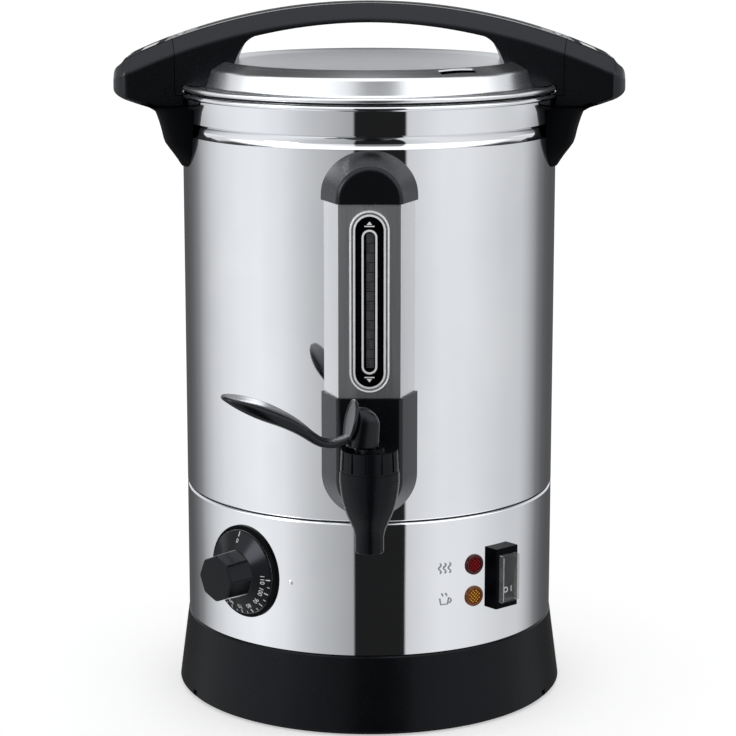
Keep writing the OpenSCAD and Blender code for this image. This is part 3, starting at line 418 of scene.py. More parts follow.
def smoky_tube():
    """Sight tube, dark when it is empty."""
    colours, noise = ((0.010, 0.010, 0.011), (0.020, 0.020, 0.022)), ((35, 35, 12), 3)
    return grained("smoky_tube", noise, colours, (0.10, 0.08), Transmission_Weight=0.6, IOR=1.47)


def clear_cap():
    """Clear cap over the rocker."""
    colours = (0.50, 0.505, 0.51), (0.60, 0.605, 0.61)
    return grained("clear_cap", (120, 3), colours, (0.04, 0.04), alpha=(0.03, 0.08))


def cap_edge():
    """Painted highlight on the edges of the clear cap."""
    colours = (0.70, 0.71, 0.72), (0.90, 0.91, 0.92)
    return grained("cap_edge", (400, 3), colours, (0.15, 0.1), alpha=(0.45, 0.4))


def cap_wall():
    """Side walls of the clear cap, painted greyer for the sheen they show when seen along."""
    colours = (0.20, 0.205, 0.21), (0.34, 0.345, 0.35)
    return grained("cap_wall", (300, 3), colours, (0.08, 0.08), alpha=(0.25, 0.3))


def lens_paint(name, low, high, shine=0.04):
    """Coloured plastic of the lamps."""
    return grained(name, (900, 2), (low, high), (0.06, 0.06), Specular_IOR_Level=shine)


def red_lens():
    """Ruby lens of the upper lamp."""
    return lens_paint("red_lens", (0.045, 0.001, 0.002), (0.085, 0.002, 0.004), 0.3)


def red_face():
    """Dark red between the lit points."""
    return lens_paint("red_face", (0.075, 0.001, 0.002), (0.12, 0.002, 0.004))


def red_studs():
    """Lit points in the face of the upper lamp."""
    return lens_paint("red_studs", (0.34, 0.010, 0.014), settings().red_colour)


def amber_lens():
    """Amber lens of the lower lamp."""
    return lens_paint("amber_lens", (0.15, 0.036, 0.001), (0.24, 0.066, 0.003), 0.3)


def amber_face():
    """Brown between the lit points."""
    return lens_paint("amber_face", (0.15, 0.032, 0.001), (0.22, 0.055, 0.002))


def amber_studs():
    """Lit points in the face of the lower lamp."""
    return lens_paint("amber_studs", (0.95, 0.50, 0.050), settings().amber_colour)


def ink(name, specular, rough, low, high):
    """Printed ink with specks."""
    paint = Paint(name, Specular_IOR_Level=specular)
    speck = paint.noise(2600, 3)
    paint.drive("Base Color", paint.mix(speck.ramp(0.25, 0.6), low, high))
    paint.drive("Roughness", rough + 0.15 * speck)
    return paint


def white_print():
    """White ink of numbers, ticks and marks, and the white of the painted highlights on the handle tops."""
    return ink("white_print", 0.5, 0.45, (0.70, 0.70, 0.70), settings().print_and_highlight_colour)


def grey_print():
    """Grey ink of the level scale."""
    return ink("grey_print", 0.3, 0.4, (0.060, 0.061, 0.064), (0.095, 0.096, 0.10))


def body_of(node):
    return frame["nodes"][node].parent.name.split(":", 1)[1]


def shown(name, data):
    """A new object in the scene."""
    thing = bpy.data.objects.new(name, data)
    bpy.context.scene.collection.objects.link(thing)
    return thing


def mesh_of(name, part):
    """A mesh from points in millimetres and faces."""
    mesh = bpy.data.meshes.new(name)
    mesh.from_pydata([Vector(v) * MM for v in part[0]], [], part[1])
    return mesh


def turn_out(mesh):
    """Turns all faces of a mesh outwards."""
    bm = bmesh.new()
    bm.from_mesh(mesh)
    bmesh.ops.recalc_face_normals(bm, faces=bm.faces)
    bm.to_mesh(mesh)
    bm.free()


def smooth(piece, angle):
    """Marks the edges over an angle as sharp."""
    piece.data.set_sharp_from_angle(angle=math.radians(angle))


def put(name, part, maker, node, instead=False, soft=SOFT):
    """A piece that rides on the body of a CAD node, or that is shown instead of the node."""
    return put_mesh(name, mesh_of(name, part), maker, node, instead, soft)


def put_mesh(name, mesh, maker, node, instead, soft):
    turn_out(mesh)
    mesh.shade_smooth()
    mesh.materials.append(paint_of(maker))
    piece = shown(name, mesh)
    smooth(piece, soft)
    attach(piece, body_of(node))
    if instead:
        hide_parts(node)
    return piece


def evaluated_mesh(thing):
    """A mesh of an object with its modifiers applied."""
    graph = bpy.context.evaluated_depsgraph_get()
    done = thing.evaluated_get(graph)
    return bpy.data.meshes.new_from_object(done, preserve_all_data_layers=True, depsgraph=graph)


def settle(piece, kind, **values):
    """Applies a modifier and keeps the result as the piece's mesh."""
    modifier = piece.modifiers.new(kind.lower(), kind)
    for key, value in values.items():
        setattr(modifier, key, value)
    mesh = evaluated_mesh(piece)
    piece.modifiers.clear()
    old = piece.data
    mesh.name = old.name
    piece.data = mesh
    bpy.data.meshes.remove(old)
    return piece


def polish(piece, soft=50.0):
    """Smooth shading up to an angle, with large faces kept flat."""
    piece.data.shade_smooth()
    smooth(piece, soft)
    return settle(piece, "WEIGHTED_NORMAL", keep_sharp=True, weight=60)


def rounded(node, name, maker, width, segments):
    """A copy of a CAD node with its sharp edges rounded by up to so many millimetres."""
    same, flat = 0.000002, math.radians(0.6)
    bm = bmesh.new()
    bm.from_mesh(frame["nodes"][node].data)
    bmesh.ops.remove_doubles(bm, verts=bm.verts, dist=same)
    bmesh.ops.dissolve_limit(bm, angle_limit=flat, verts=bm.verts, edges=bm.edges)
    mesh = bpy.data.meshes.new(name)
    bm.to_mesh(mesh)
    bm.free()
    piece = put_mesh(name, mesh, maker, node, True, CRISP)
    bevel = {
        "width": width * MM,
        "segments": segments,
        "limit_method": "ANGLE",
        "angle_limit": math.radians(CRISP),
        "use_clamp_overlap": True,
        "miter_outer": "MITER_ARC",
    }
    return polish(settle(piece, "BEVEL", **bevel))


def carve(piece, part, operation="DIFFERENCE"):
    """Cuts a part from a piece, joins it on or keeps only what both share."""
    mesh = mesh_of("cutter", part)
    turn_out(mesh)
    cutter = shown("cutter", mesh)
    settle(piece, "BOOLEAN", object=cutter, operation=operation, solver="EXACT")
    bpy.data.objects.remove(cutter)
    bpy.data.meshes.remove(mesh)
    return piece


def coat(maker, *nodes):
    """Gives CAD nodes a material."""
    for node in nodes:
        mesh = frame["nodes"][node].data
        mesh.materials.clear()
        mesh.materials.append(paint_of(maker))


def unmirrored(*pieces):
    """Keeps small pieces out of the mirror of the steel, as in the photo."""
    for piece in pieces:
        piece.visible_glossy = False


def turned(angle, axis):
    return Matrix.Rotation(math.radians(angle), 4, axis)


def shifted(x, y, z):
    return Matrix.Translation((x, y, z))


def radial(angle, z, out=POT_R):
    """Local +Z out of the pot, +Y up, on its wall at an angle from the front."""
    return turned(angle, "Z") @ shifted(0, 0, z) @ turned(90, "X") @ shifted(0, 0, out)


def dial_frame():
    return radial(DIAL_ANGLE, DIAL_Z) @ turned(DIAL_TILT, "Y")


def front(y):
    """Local x to the right, y up, +Z towards the front, at a distance in front of the axis."""
    return shifted(0, -y, 0) @ turned(90, "X")


def arc(cx, cy, r, first, last, count):
    turn = [math.radians(first + (last - first) * i / count) for i in range(count + 1)]
    return [(cx + r * math.cos(a), cy + r * math.sin(a)) for a in turn]


def circle(cx, cy, r, count):
    return arc(cx, cy, r, 0, 360, count)[:-1]


def curve(p, c, q, count):
    """Points from p to q, bent towards c."""
    points = []
    for t in [i / count for i in range(count + 1)]:
        points.append(tuple((1 - t) ** 2 * a + 2 * t * (1 - t) * b + t * t * d for a, b, d in zip(p, c, q)))
    return points


def along(line, x):
    """Height of a line of (x, height) points, in order, at x."""
    for (x0, h0), (x1, h1) in zip(line, line[1:]):
        if x <= x1:
            return h0 + (h1 - h0) * max(0.0, (x - x0) / (x1 - x0)) if x1 > x0 else h1
    return line[-1][1]


def power(value, exponent):
    """A power that keeps the sign."""
    return math.copysign(abs(value) ** exponent, value)


def join(*parts):
    """Several (verts, faces) as one."""
    verts, faces = [], []
    for more, rings in parts:
        start = len(verts)
        verts.extend(more)
        faces.extend([[start + v for v in ring] for ring in rings])
    return verts, faces


def moved(part, matrix):
    return [matrix @ Vector(v) for v in part[0]], part[1]


def lathe(profile, count):
    """A closed profile of (radius, height) turned round the upright axis."""
    verts, rows = [], []
    for r, z in profile:
        if r < 1e-6:
            rows.append([len(verts)] * count)
            verts.append((0.0, 0.0, z))
            continue
        rows.append(list(range(len(verts), len(verts) + count)))
        for i in range(count):
            a = 2 * math.pi * i / count
            verts.append((r * math.cos(a), r * math.sin(a), z))
    faces = []
    for low, high in zip(rows, rows[1:] + rows[:1]):
        if low[0] == low[1] and high[0] == high[1]:
            continue
        for i in range(count):
            j = (i + 1) % count
            ring = [low[i], low[j], high[j], high[i]]
            faces.append([v for k, v in enumerate(ring) if v not in ring[:k]])
    return verts, faces


def drum(r, low, high, count):
    return lathe([(0, low), (r, low), (r, high), (0, high)], count)


def between(a, b, count):
    """Faces between two rings of points that start at a and b."""
    return [[a + i, a + (i + 1) % count, b + (i + 1) % count, b + i] for i in range(count)]


def loft(rings):
    """A skin through rings that have the same number of points, closed at both ends."""
    count = len(rings[0])
    verts = [point for ring in rings for point in ring]
    last = len(verts) - count
    faces = [list(range(count))[::-1], list(range(last, last + count))]
    for a in range(0, last, count):
        faces += between(a, a + count, count)
    return verts, faces


def tube(rings):
    """A skin through rings that have the same number of points, and back to the first."""
    count = len(rings[0])
    verts = [point for ring in rings for point in ring]
    faces = []
    for a in range(0, len(verts), count):
        faces += between(a, (a + count) % len(verts), count)
    return verts, faces


def raised(outline, z):
    return [(x, y, z) for x, y in outline]


def slab(outline, low, high):
    """A flat closed outline given some height."""
    return loft([raised(outline, low), raised(outline, high)])


def hoop(outer, inner, low, high):
    """A flat ring between two outlines with the same number of points."""
    return tube([raised(outer, low), raised(inner, low), raised(inner, high), raised(outer, high)])


def bar(x0, y0, x1, y1, low, high):
    return slab([(x0, y0), (x1, y0), (x1, y1), (x0, y1)], low, high)


def tablet(width, low, high):
    """Outline of an upright tablet with round ends."""
    r, count = width / 2, 24
    return arc(0, high - r, r, 0, 180, count) + arc(0, low + r, r, 180, 360, count)


def stroke(points, width, low, high):
    """A line of even width through points, given some height."""
    left, right = [], []
    for i, (x, y) in enumerate(points):
        ax, ay = points[max(i - 1, 0)]
        bx, by = points[min(i + 1, len(points) - 1)]
        length = math.hypot(bx - ax, by - ay)
        nx, ny = -(by - ay) / length * width / 2, (bx - ax) / length * width / 2
        left.append((x + nx, y + ny))
        right.append((x - nx, y - ny))
    return slab(left + right[::-1], low, high)


def wrapped(part, z, angle):
    """Bends a flat part round the pot wall: x runs round it, y up, z outwards."""
    verts = []
    for x, y, h in part[0]:
        a = math.radians(angle) + x / POT_R
        verts.append(((POT_R + h) * math.sin(a), -(POT_R + h) * math.cos(a), z + y))
    return verts, part[1]


def digits(text, height):
    """Flat outline mesh of plain digits, centred."""
    size_for_height, thickness = 1.38, 0.05
    font = bpy.data.curves.new("digits", "FONT")
    font.body = text
    font.size = height * size_for_height
    font.align_x, font.align_y = "CENTER", "CENTER"
    font.extrude = thickness
    holder = shown("digits", font)
    mesh = evaluated_mesh(holder)
    part = [tuple(v.co) for v in mesh.vertices], [list(p.vertices) for p in mesh.polygons]
    bpy.data.objects.remove(holder)
    bpy.data.curves.remove(font)
    bpy.data.meshes.remove(mesh)
    return part


def lid_line(gap):
    """Top of the lid from its flange to the middle, moved out by a gap."""
    flange, dish = LID_BEAD_Z + SHEET / 2, CREST_Z - DISH + gap
    line = arc(POT_R - 9.8, flange + 2, 2 - gap, 270, 190, 6)
    line += arc(POT_R - 17, CREST_Z - 6.6, 3.2 + gap, 12, 62, 10)
    line += arc(CREST_R, CREST_Z - 2, 2 + gap, 62, 110, 8)
    return line + curve((CREST_R - 6, CREST_Z - 1.6 + gap), (CREST_R * 0.55, dish), (0, dish), 20)


def factor(name, description, default):
    """A value from 0 to 1 that a user may change."""
    limits = {"min": 0.0, "max": 1.0, "subtype": "FACTOR"}
    return bpy.props.FloatProperty(name=name, description=description, default=default, **limits)


def tint(name, description, default):
    """A colour that a user may change."""
    limits = {"size": 3, "min": 0.0, "max": 1.0, "subtype": "COLOR"}
    return bpy.props.FloatVectorProperty(name=name, description=description, default=default, **limits)


def distance(name, description, default, least, most):
    """A size that a user may change, given in millimetres and kept in metres."""
    limits = {"default": default * MM, "min": least * MM, "max": most * MM, "unit": "LENGTH"}
    return bpy.props.FloatProperty(name=name, description=description, **limits)


class URN_PG_looks(bpy.types.PropertyGroup):
    """Colours, finishes and sizes of the urn that a user may want to change."""

    steel_colour: tint("Steel", "Lighter tone of the polished steel", (0.86, 0.865, 0.875))
    plastic_colour: tint("Plastic", "Lighter tone of the handles and column ends", (0.0041, 0.0045, 0.0060))
    # Print tone, also used for the painted highlights on the handle tops
    print_and_highlight_colour: tint("Print", "Lighter tone of the printed numbers and marks", (0.94, 0.94, 0.94))
    red_colour: tint("Red Lamp", "Lighter tone of the points in the upper lamp", (0.50, 0.020, 0.026))
    amber_colour: tint("Amber Lamp", "Lighter tone of the points in the lower lamp", (1.0, 0.68, 0.120))
    steel_roughness: factor("Steel Roughness", "Least roughness of the polished steel", 0.02)
    plastic_roughness: factor("Plastic Roughness", "Least roughness of the moulded black plastic", 0.21)
    plastic_grain: factor("Plastic Grain", "Strength of the grain in the moulded black plastic", 0.35)
    digit_height: distance("Digit Height", "Height of the dial numbers", 2.8, 1.0, 5.0)
    edge: distance("Handle Edge", "Rounding of the handle edges", 3.0, 0.1, 4.0)


class URN_PG_stage(bpy.types.PropertyGroup):
    """Floor, light and lens of the stage that a user may want to change."""

    floor_colour: tint("Floor", "Colour of the floor", (0.8, 0.8, 0.8))
    sky: bpy.props.FloatProperty(
        name="Sky Level",
        description="Strength of the even light from all around",
        default=0.75,
        min=0.0,
        max=2.0,
    )
    lens: bpy.props.FloatProperty(
        name="Lens",
        description="Focal length of the camera",
        default=120.86,
        min=20.0,
        max=300.0,
        unit="CAMERA",
    )


class URN_OT_steel(bpy.types.Operator):
    """Builds the polished pot, the band and the spun lid"""

    bl_idname = "urn.steel"
    bl_label = "Steel Shell"

    GROOVE_Z, GROOVE_R, GROOVE_X = 339.6, 5.0, 113.0
    GROOVE_TURN, GROOVE_IN_TURN = 53.13, 49.1
    BEAD_FROM, BEAD_TO, LID_BEAD_TURN = -109.5, 209.9, 164.5
    BAND_EDGE, SHAFT_HOLE_R, HOLE_DEPTH = 1.6, 5.05, 8
    SWITCH_HOLE_X, SWITCH_HOLE_Y = 6.75, 14.55
    VENT_ANGLE, VENT_X = 33, 12

    def execute(self, context):
        self.pot()
        self.band()
        self.lid()
        return {"FINISHED"}

    def pot(self):
        """Wall with a groove under its rolled rim, and its floor."""
        edge, floor, corner, inner_r = 0.6, 1, 3, POT_R - SHEET
        groove, turn, inside = (self.GROOVE_X, self.GROOVE_Z), self.GROOVE_TURN, self.GROOVE_IN_TURN
        line = [(0, SEAM_Z), (POT_R - edge, SEAM_Z), (POT_R, SEAM_Z + edge)]
        line += [(POT_R, SEAM_Z + 60 * k) for k in (1, 2, 3)]
        line += arc(*groove, self.GROOVE_R, 180 + turn, 180 - turn, 16)
        line += arc(BEAD_X, RIM_Z - BEAD_R, BEAD_R, self.BEAD_FROM, self.BEAD_TO, 28)
        line += arc(*groove, self.GROOVE_R + SHEET, 180 - inside, 180 + inside, 16)
        line += [(inner_r, SEAM_Z + floor + corner), (inner_r - corner, SEAM_Z + floor), (0, SEAM_Z + floor)]
        put("pot_wall", lathe(line, FINE), mirror_steel, "pot", True)

    def band(self):
        """Band under the pot, turned in at its top, with holes for the dial, the lamps and the switch."""
        edge, inset = self.BAND_EDGE, 6
        line = [(POT_R, BAND_LOW), (POT_R, BAND_LOW + 38)]
        line += arc(POT_R - edge, BAND_TOP - edge, edge, 0, 90, 8)
        line += [(POT_R - inset, BAND_TOP), (POT_R - inset, BAND_TOP - SHEET)]
        line += arc(POT_R - edge, BAND_TOP - edge, edge - SHEET, 90, 0, 6)
        line += [(POT_R - SHEET, BAND_LOW)]
        piece = put("control_band", lathe(line, FINE), mirror_steel, "lower_band", True)
        deep, x, y = self.HOLE_DEPTH, self.SWITCH_HOLE_X, self.SWITCH_HOLE_Y
        places = [(self.SHAFT_HOLE_R, dial_frame())]
        places += [(LAMP_NECK_R + 0.05, radial(LAMP_ANGLE, z)) for z in LAMP_ZS]
        for r, place in places:
            carve(piece, moved(drum(r, -deep, deep, SMALL), place))
        carve(piece, moved(bar(-x, -y, x, y, -deep, deep), radial(SWITCH_ANGLE, SWITCH_Z)))
        smooth(piece, SOFT)

    def lid(self):
        """Lid with a rolled bead, a dish, a collar inside the rim and a vent in its skirt."""
        flange, collar_r, collar_h, turn = LID_BEAD_Z - SHEET / 2, POT_R - 5, 9, self.LID_BEAD_TURN
        line = arc(BEAD_X, LID_BEAD_Z, BEAD_R, -turn, turn, 30)
        line += lid_line(0)
        line += lid_line(-SHEET)[::-1]
        line += [(collar_r - SHEET, flange), (collar_r - SHEET, flange - collar_h)]
        line += [(collar_r, flange - collar_h), (collar_r, flange)]
        piece = put("lid_sheet", lathe(line, FINE), spun_steel, "lid_shell", True)
        x = self.VENT_X
        block = bar(-x, -CREST_R - 4.6, x, -CREST_R - 1, LID_BEAD_Z + 3.5, CREST_Z + 10)
        carve(piece, moved(block, turned(self.VENT_ANGLE, "Z")))
        smooth(piece, SOFT)


class URN_OT_base(bpy.types.Operator):
    """Rounds the base ring and cable gland and coats the foot and the pieces under the pot"""

    bl_idname = "urn.base"
    bl_label = "Base And Inner Pieces"

    def execute(self, context):
        rounded("base_ring", "base_shell", matt_black, 0.5, 2)
        coat(soft_rubber, "foot_ring", "seam_gasket", "lid_seal")
        coat(plain_steel, "base_plate", "base_screws", "rocker_pin", "tap_nut", "lever_pin", "lid_screws")
        coat(plain_steel, "handle_bolts", "thermostat_shaft")
        coat(dull_metal, "heat_spreader", "heating_element", "thermal_cutout", "thermostat_body")
        coat(copper, "sensor_bulb")
        coat(pale_plastic, "terminal_block", "valve_cup", "lamp_holders")
        coat(red_rubber, "tap_gaskets", "tube_seals")
        rounded("cable_gland", "cable_gland_body", matt_black, 0.5, 2)
        coat(matt_black, "gland_nut")
        unmirrored(frame["nodes"]["rocker_pin"])
        return {"FINISHED"}


class URN_OT_handles(bpy.types.Operator):
    """Builds the soft arch and side handles with the painted reflections on their tops and rounds the grip
    strip
    """

    bl_idname = "urn.handles"
    bl_label = "Handles"

    # Top and underside of the bar are arcs; its half width grows from the middle
    TOP_MID, TOP_R, TOP_SHARE = 75.8, 335.0, 0.997
    UNDER_MID, UNDER_R = 110, 290
    HALF, HALF_GROWTH = 21.57, 0.0787
    # Height of a full section of the bar, and the drop and inset of its shoulders
    SECTION_H, SHOULDER_DROP, SHOULDER_IN = 26, 9.0, 6.5
    TIP_X, TIP_R, HOOK_Z, JOINT_R, RIM_R, GAP = 148.8, 14, 358.8, 116.2, 112.0, 0.35
    LEG_LOW, SHADE_Z = 317.1, 354.5
    # Fine lines cut beside the joint: first and last x and z of each, from LINE_X and HOOK_Z
    LINE_X, LINE_Y = 117.47, 29.96
    LINES = ((0, 0.5, 0, 5), (-10.4, 0.5, 4.5, 5), (-10.4, 0.5, -0.25, 0.25))
    # Painted reflection on the flat tops, white highlights on matt dark patches: x along the bar, first and
    # last y
    PATCH_RISE, PRINT_RISE = 0.05, 0.12
    BAR_REFLECTION_GROUND = [(118.6 + 2.1 * i, -24.2, 24.2) for i in range(11)]
    BAR_HIGHLIGHT = [(123.4 + 0.85 * i, -24.0, 4.0) for i in range(11)]
    ARROW_REFLECTION_GROUND = [(108.2, -19.0, 11.0), (110.8, -15.0, 7.0), (113.6, -7.0, -1.0)]
    ARROW_HIGHLIGHT = [(109.0, -17.0, 9.0), (110.8, -11.0, 3.0), (112.6, -4.4, -3.6)]

    def execute(self, context):
        self.arch()
        self.side("side_handle_left", "left_handle", 180)
        self.side("side_handle_right", "right_handle", 0)
        strip = rounded("handle_inlay", "grip_strip", grip_rubber, 0.25, 2)
        unmirrored(strip, *self.marks())
        return {"FINISHED"}

    def top(self, x):
        return self.TOP_MID + math.sqrt(self.TOP_R**2 - (self.TOP_SHARE * x) ** 2)

    def under(self, x):
        return self.UNDER_MID + math.sqrt(self.UNDER_R**2 - x * x)

    def half(self, x):
        return self.HALF + self.HALF_GROWTH * abs(x)

    def ring(self, x, low, high, half):
        """Section of the bar: flat top, sloping shoulders, upright sides, small lower corners."""
        k = min(1.0, (high - low) / self.SECTION_H)
        edge = settings().edge / MM * k
        turn, flat = high - self.SHOULDER_DROP * k, half - self.SHOULDER_IN * k
        line = [(0, high), (0.5 * flat, high)]
        line += curve((flat - 1.2 * k, high), (flat, high), (flat + 0.8 * k, high - 1.1 * k), 4)
        line += curve((half - k, turn + 1.4 * k), (half, turn), (half, turn - 1.8 * k), 5)
        line += curve((half, low + edge), (half, low), (half - edge, low), 4)
        line += [(0.5 * half, low), (0, low)]
        return [(x, y, z) for y, z in line] + [(x, -y, z) for y, z in line[-2:0:-1]]

    def marks(self):
        """White bars on the side handles and arrows on the arch, on matt dark patches: a painted reflection
        on their flat tops.
        """
        marks = (
            ("bar_patches", self.BAR_REFLECTION_GROUND, self.PATCH_RISE, dull_black, "side_handle_left"),
            ("bar_prints", self.BAR_HIGHLIGHT, self.PRINT_RISE, white_print, "side_handle_left"),
            ("arrow_patches", self.ARROW_REFLECTION_GROUND, self.PATCH_RISE, dull_black, "lid_handle"),
            ("arrow_prints", self.ARROW_HIGHLIGHT, self.PRINT_RISE, white_print, "lid_handle"),
        )
        pieces = []
        for name, steps, rise, maker, node in marks:
            both = join(*(self.patch(sign, steps, rise) for sign in (-1, 1)))
            pieces.append(put(name, both, maker, node))
        return pieces

    def patch(self, sign, steps, rise):
        """A thin layer on top of the bar through steps of (x, first y, last y)."""
        rings = []
        for x, first, last in steps:
            low, high = self.top(x) - 0.1, self.top(x) + rise
            corners = ((first, low), (last, low), (last, high), (first, high))
            rings.append([(sign * x, y, z) for y, z in corners])
        return loft(rings)

    def arch(self):
        rings = [self.ring(x, self.HOOK_Z - 5, self.top(x), self.half(x)) for x in range(-126, 127, 3)]
        piece = put("arch_handle", loft(rings), satin_black, "lid_handle", True)
        carve(piece, drum(self.JOINT_R, self.HOOK_Z, 430, LARGE), "INTERSECT")
        leg = curve((66, self.under(66)), (74, 389.5), (78.5, CREST_Z - 3), 10) + [(80, 361.3)]
        crown = [(x, self.under(x)) for x in range(-60, 61, 6)]
        opening = [(-x, z) for x, z in leg[::-1]] + crown + leg
        carve(piece, moved(slab(opening, -80, 80), front(0)))
        reach, clear = self.RIM_R + self.GAP, LID_BEAD_Z + 1.65
        room = [(0, 331), (reach, 331), (reach, clear), (POT_R - 2, clear)] + lid_line(0.1)
        carve(piece, lathe(room, LARGE))
        polish(piece, CRISP)

    def side(self, node, name, angle):
        """End of the bar with its leg, cut to the pot, the rim and the arch."""
        tip, round_r, gap, turn = self.TIP_X, self.TIP_R, self.GAP, turned(angle, "Z")
        nose = 7.5
        high = [(tip - nose, 379.2)] + curve((tip - 4, 375.7), (tip, 373.9), (tip, 366.9), 8)
        low = [(100, 349.7)] + curve((tip - 26.6, 349.7), (tip - 21, 351.7), (tip - 15, 353.5), 4)
        low += curve((tip - 9.5, 355.5), (tip - 1, 358.3), (tip, 361.9), 8)
        backs = (45, 41, 37, 33, 29, 26, 23, 20, 17, 14, 12, 10, 8.5, nose, 6, 5, 4, 3, 2, 1.2, 0.6, 0.2, 0)
        rings = []
        for back in backs:
            x = tip - back
            half = self.half(x)
            if back < round_r:
                half = min(half, 20 + math.sqrt(round_r**2 - (round_r - back) ** 2))
            rings.append(self.ring(x, along(low, x), self.top(x) if back >= nose else along(high, x), half))
        piece = put(name, moved(loft(rings), turn), satin_black, node, True)
        carve(piece, moved(loft(self.leg()), turn), "UNION")
        wall, rim, joint = POT_R + 0.1, self.RIM_R + gap, self.JOINT_R + gap
        under_rim, hook = RIM_Z - 3.6, self.HOOK_Z - gap
        room = [(0, 307), (wall, 307), (wall, under_rim), (rim, under_rim)]
        room += [(rim, hook), (joint, hook), (joint, 440), (0, 440)]
        carve(piece, lathe(room, LARGE))
        for x0, x1, z0, z1 in self.LINES:
            sides, heights = (self.LINE_X + x0, self.LINE_X + x1), (self.HOOK_Z + z0, self.HOOK_Z + z1)
            carve(piece, moved(bar(sides[0], self.LINE_Y, sides[1], 35, *heights), turn))
        polish(piece, CRISP)
        # Faces below SHADE_Z take the darker deep_black: painted shade on the legs under the handle
        piece.data.materials.append(paint_of(deep_black))
        for face in piece.data.polygons:
            face.material_index = int(face.center.z < self.SHADE_Z * MM)

    def leg(self):
        """Rings of the leg, upwards, round at its ends and curved to the pot behind."""
        low, buried, end_r = self.LEG_LOW, 3, 8
        line = [(0.6, -42.8)] + curve((1.8, -42.5), (5.4, -36.5), (10.4, -30.5), 6)
        line += curve((11.6, -27), (13.6, -17), (16.6, -10.5), 8) + [(22, -7.6)]
        out = [(RIM_Z + z, r) for r, z in line]
        wide = [(z, y) for y, z in curve((31, low), (39, low), (41, low + 10), 8)]
        wide += [(349.9, 45), (353.9, 45)]
        rings = []
        for rise in (0.05, 0.3, 0.8, 1.6, 2.6, 4, 6, 8, 10, 13, 16, 20, 24, 28, 32, 35):
            z = low + rise
            half, reach, ring = along(wide, z), along(out, z) + buried, []
            for k in range(37):
                y = half * math.sin(math.radians(-90 + 5 * k))
                t = 1 - min(1.0, (half - abs(y)) / end_r)
                r = POT_R - buried + reach * math.sqrt(max(0.0, 1 - t * t))
                ring.append((math.sqrt(r * r - y * y), y, z))
            rings.append(ring)
        return rings


class URN_OT_dial(bpy.types.Operator):
    """Builds the dial on its rounded ring and prints its numbers and ticks"""

    bl_idname = "urn.dial"
    bl_label = "Dial"

    LOW, SKIRT_R, SKIRT_H = 3.72, 24.6, 1.5
    CONE_R, CONE_RISE = 14.5, 4.7
    GRIP_H, BORE_R, BORE_TOP = 22, 3.05, 16
    FIRST_ANGLE, STEP_ANGLE, OFF_ANGLE = -0.5, 21.7, 91.5
    INK = 0.06

    def execute(self, context):
        plate = rounded("dial_ring", "dial_plate", deep_black, 0.4, 2)
        knob = self.knob()
        parts, height = [], settings().digit_height / MM
        for k in range(9):
            angle = self.FIRST_ANGLE - self.STEP_ANGLE * k
            parts.append(self.on_cone(digits(str(110 - 10 * k), height), 19.7, angle))
            parts.append(self.tick(0.3, 1.3, 23.0, angle))
            if k < 8:
                parts.append(self.tick(0.2, 0.8, 23.5, angle - self.STEP_ANGLE / 2))
        parts.append(self.tick(0.3, 1.5, 22.8, self.OFF_ANGLE))
        parts.append(self.on_cone(digits("0", 2.6), 19.0, self.OFF_ANGLE))
        unmirrored(plate, knob, put("dial_print", join(*parts), white_print, "thermostat_knob"))
        return {"FINISHED"}

    def knob(self):
        """Skirt, cone and eight-sided grip, hollow for the shaft."""
        low, base, r, place = self.LOW, self.LOW + self.SKIRT_H, self.SKIRT_R, dial_frame()
        line = [(0, low), (r - 0.4, low), (r, low + 0.4)]
        line += curve((r, base - 0.5), (r, base), (r - 0.6, base + 0.28), 3)
        line += [(self.CONE_R, base + self.CONE_RISE), (0, base + self.CONE_RISE)]
        piece = put("dial_knob", moved(lathe(line, 128), place), dial_black, "thermostat_knob", True)
        carve(piece, moved(loft(self.grip()), place), "UNION")
        carve(piece, moved(drum(self.BORE_R, low - 1, self.BORE_TOP, SMALL), place))
        return polish(piece, CRISP)

    def grip(self):
        """Rings of the grip, outwards, with soft corners and a soft face edge."""
        low, tip = self.LOW + 4.2, self.LOW + self.GRIP_H
        corner = ((-3.5, 0.977), (0, 0.986), (3.5, 0.977))
        corners = [(math.radians(45 * k + turn), share) for k in range(8) for turn, share in corner]
        rings = []
        for r, t in ((14.35, low), (13.6, tip - 1.3), (13.5, tip - 0.8), (13.2, tip - 0.3), (12.6, tip)):
            rings.append([(r * share * math.cos(a), r * share * math.sin(a), t) for a, share in corners])
        return rings

    def tick(self, x, y, r, angle):
        return self.on_cone(bar(-x, -y, x, y, 0, self.INK), r, angle)

    def on_cone(self, part, r, angle):
        """Lays a flat part on the cone of the dial, its top outwards."""
        slope = math.atan2(self.CONE_RISE, self.SKIRT_R - self.CONE_R)
        t = self.LOW + self.SKIRT_H + (self.SKIRT_R - r) * math.tan(slope) + 0.05
        place = turned(angle - 90, "Z") @ shifted(0, r, t)
        return moved(part, dial_frame() @ place @ Matrix.Rotation(-slope, 4, "X"))


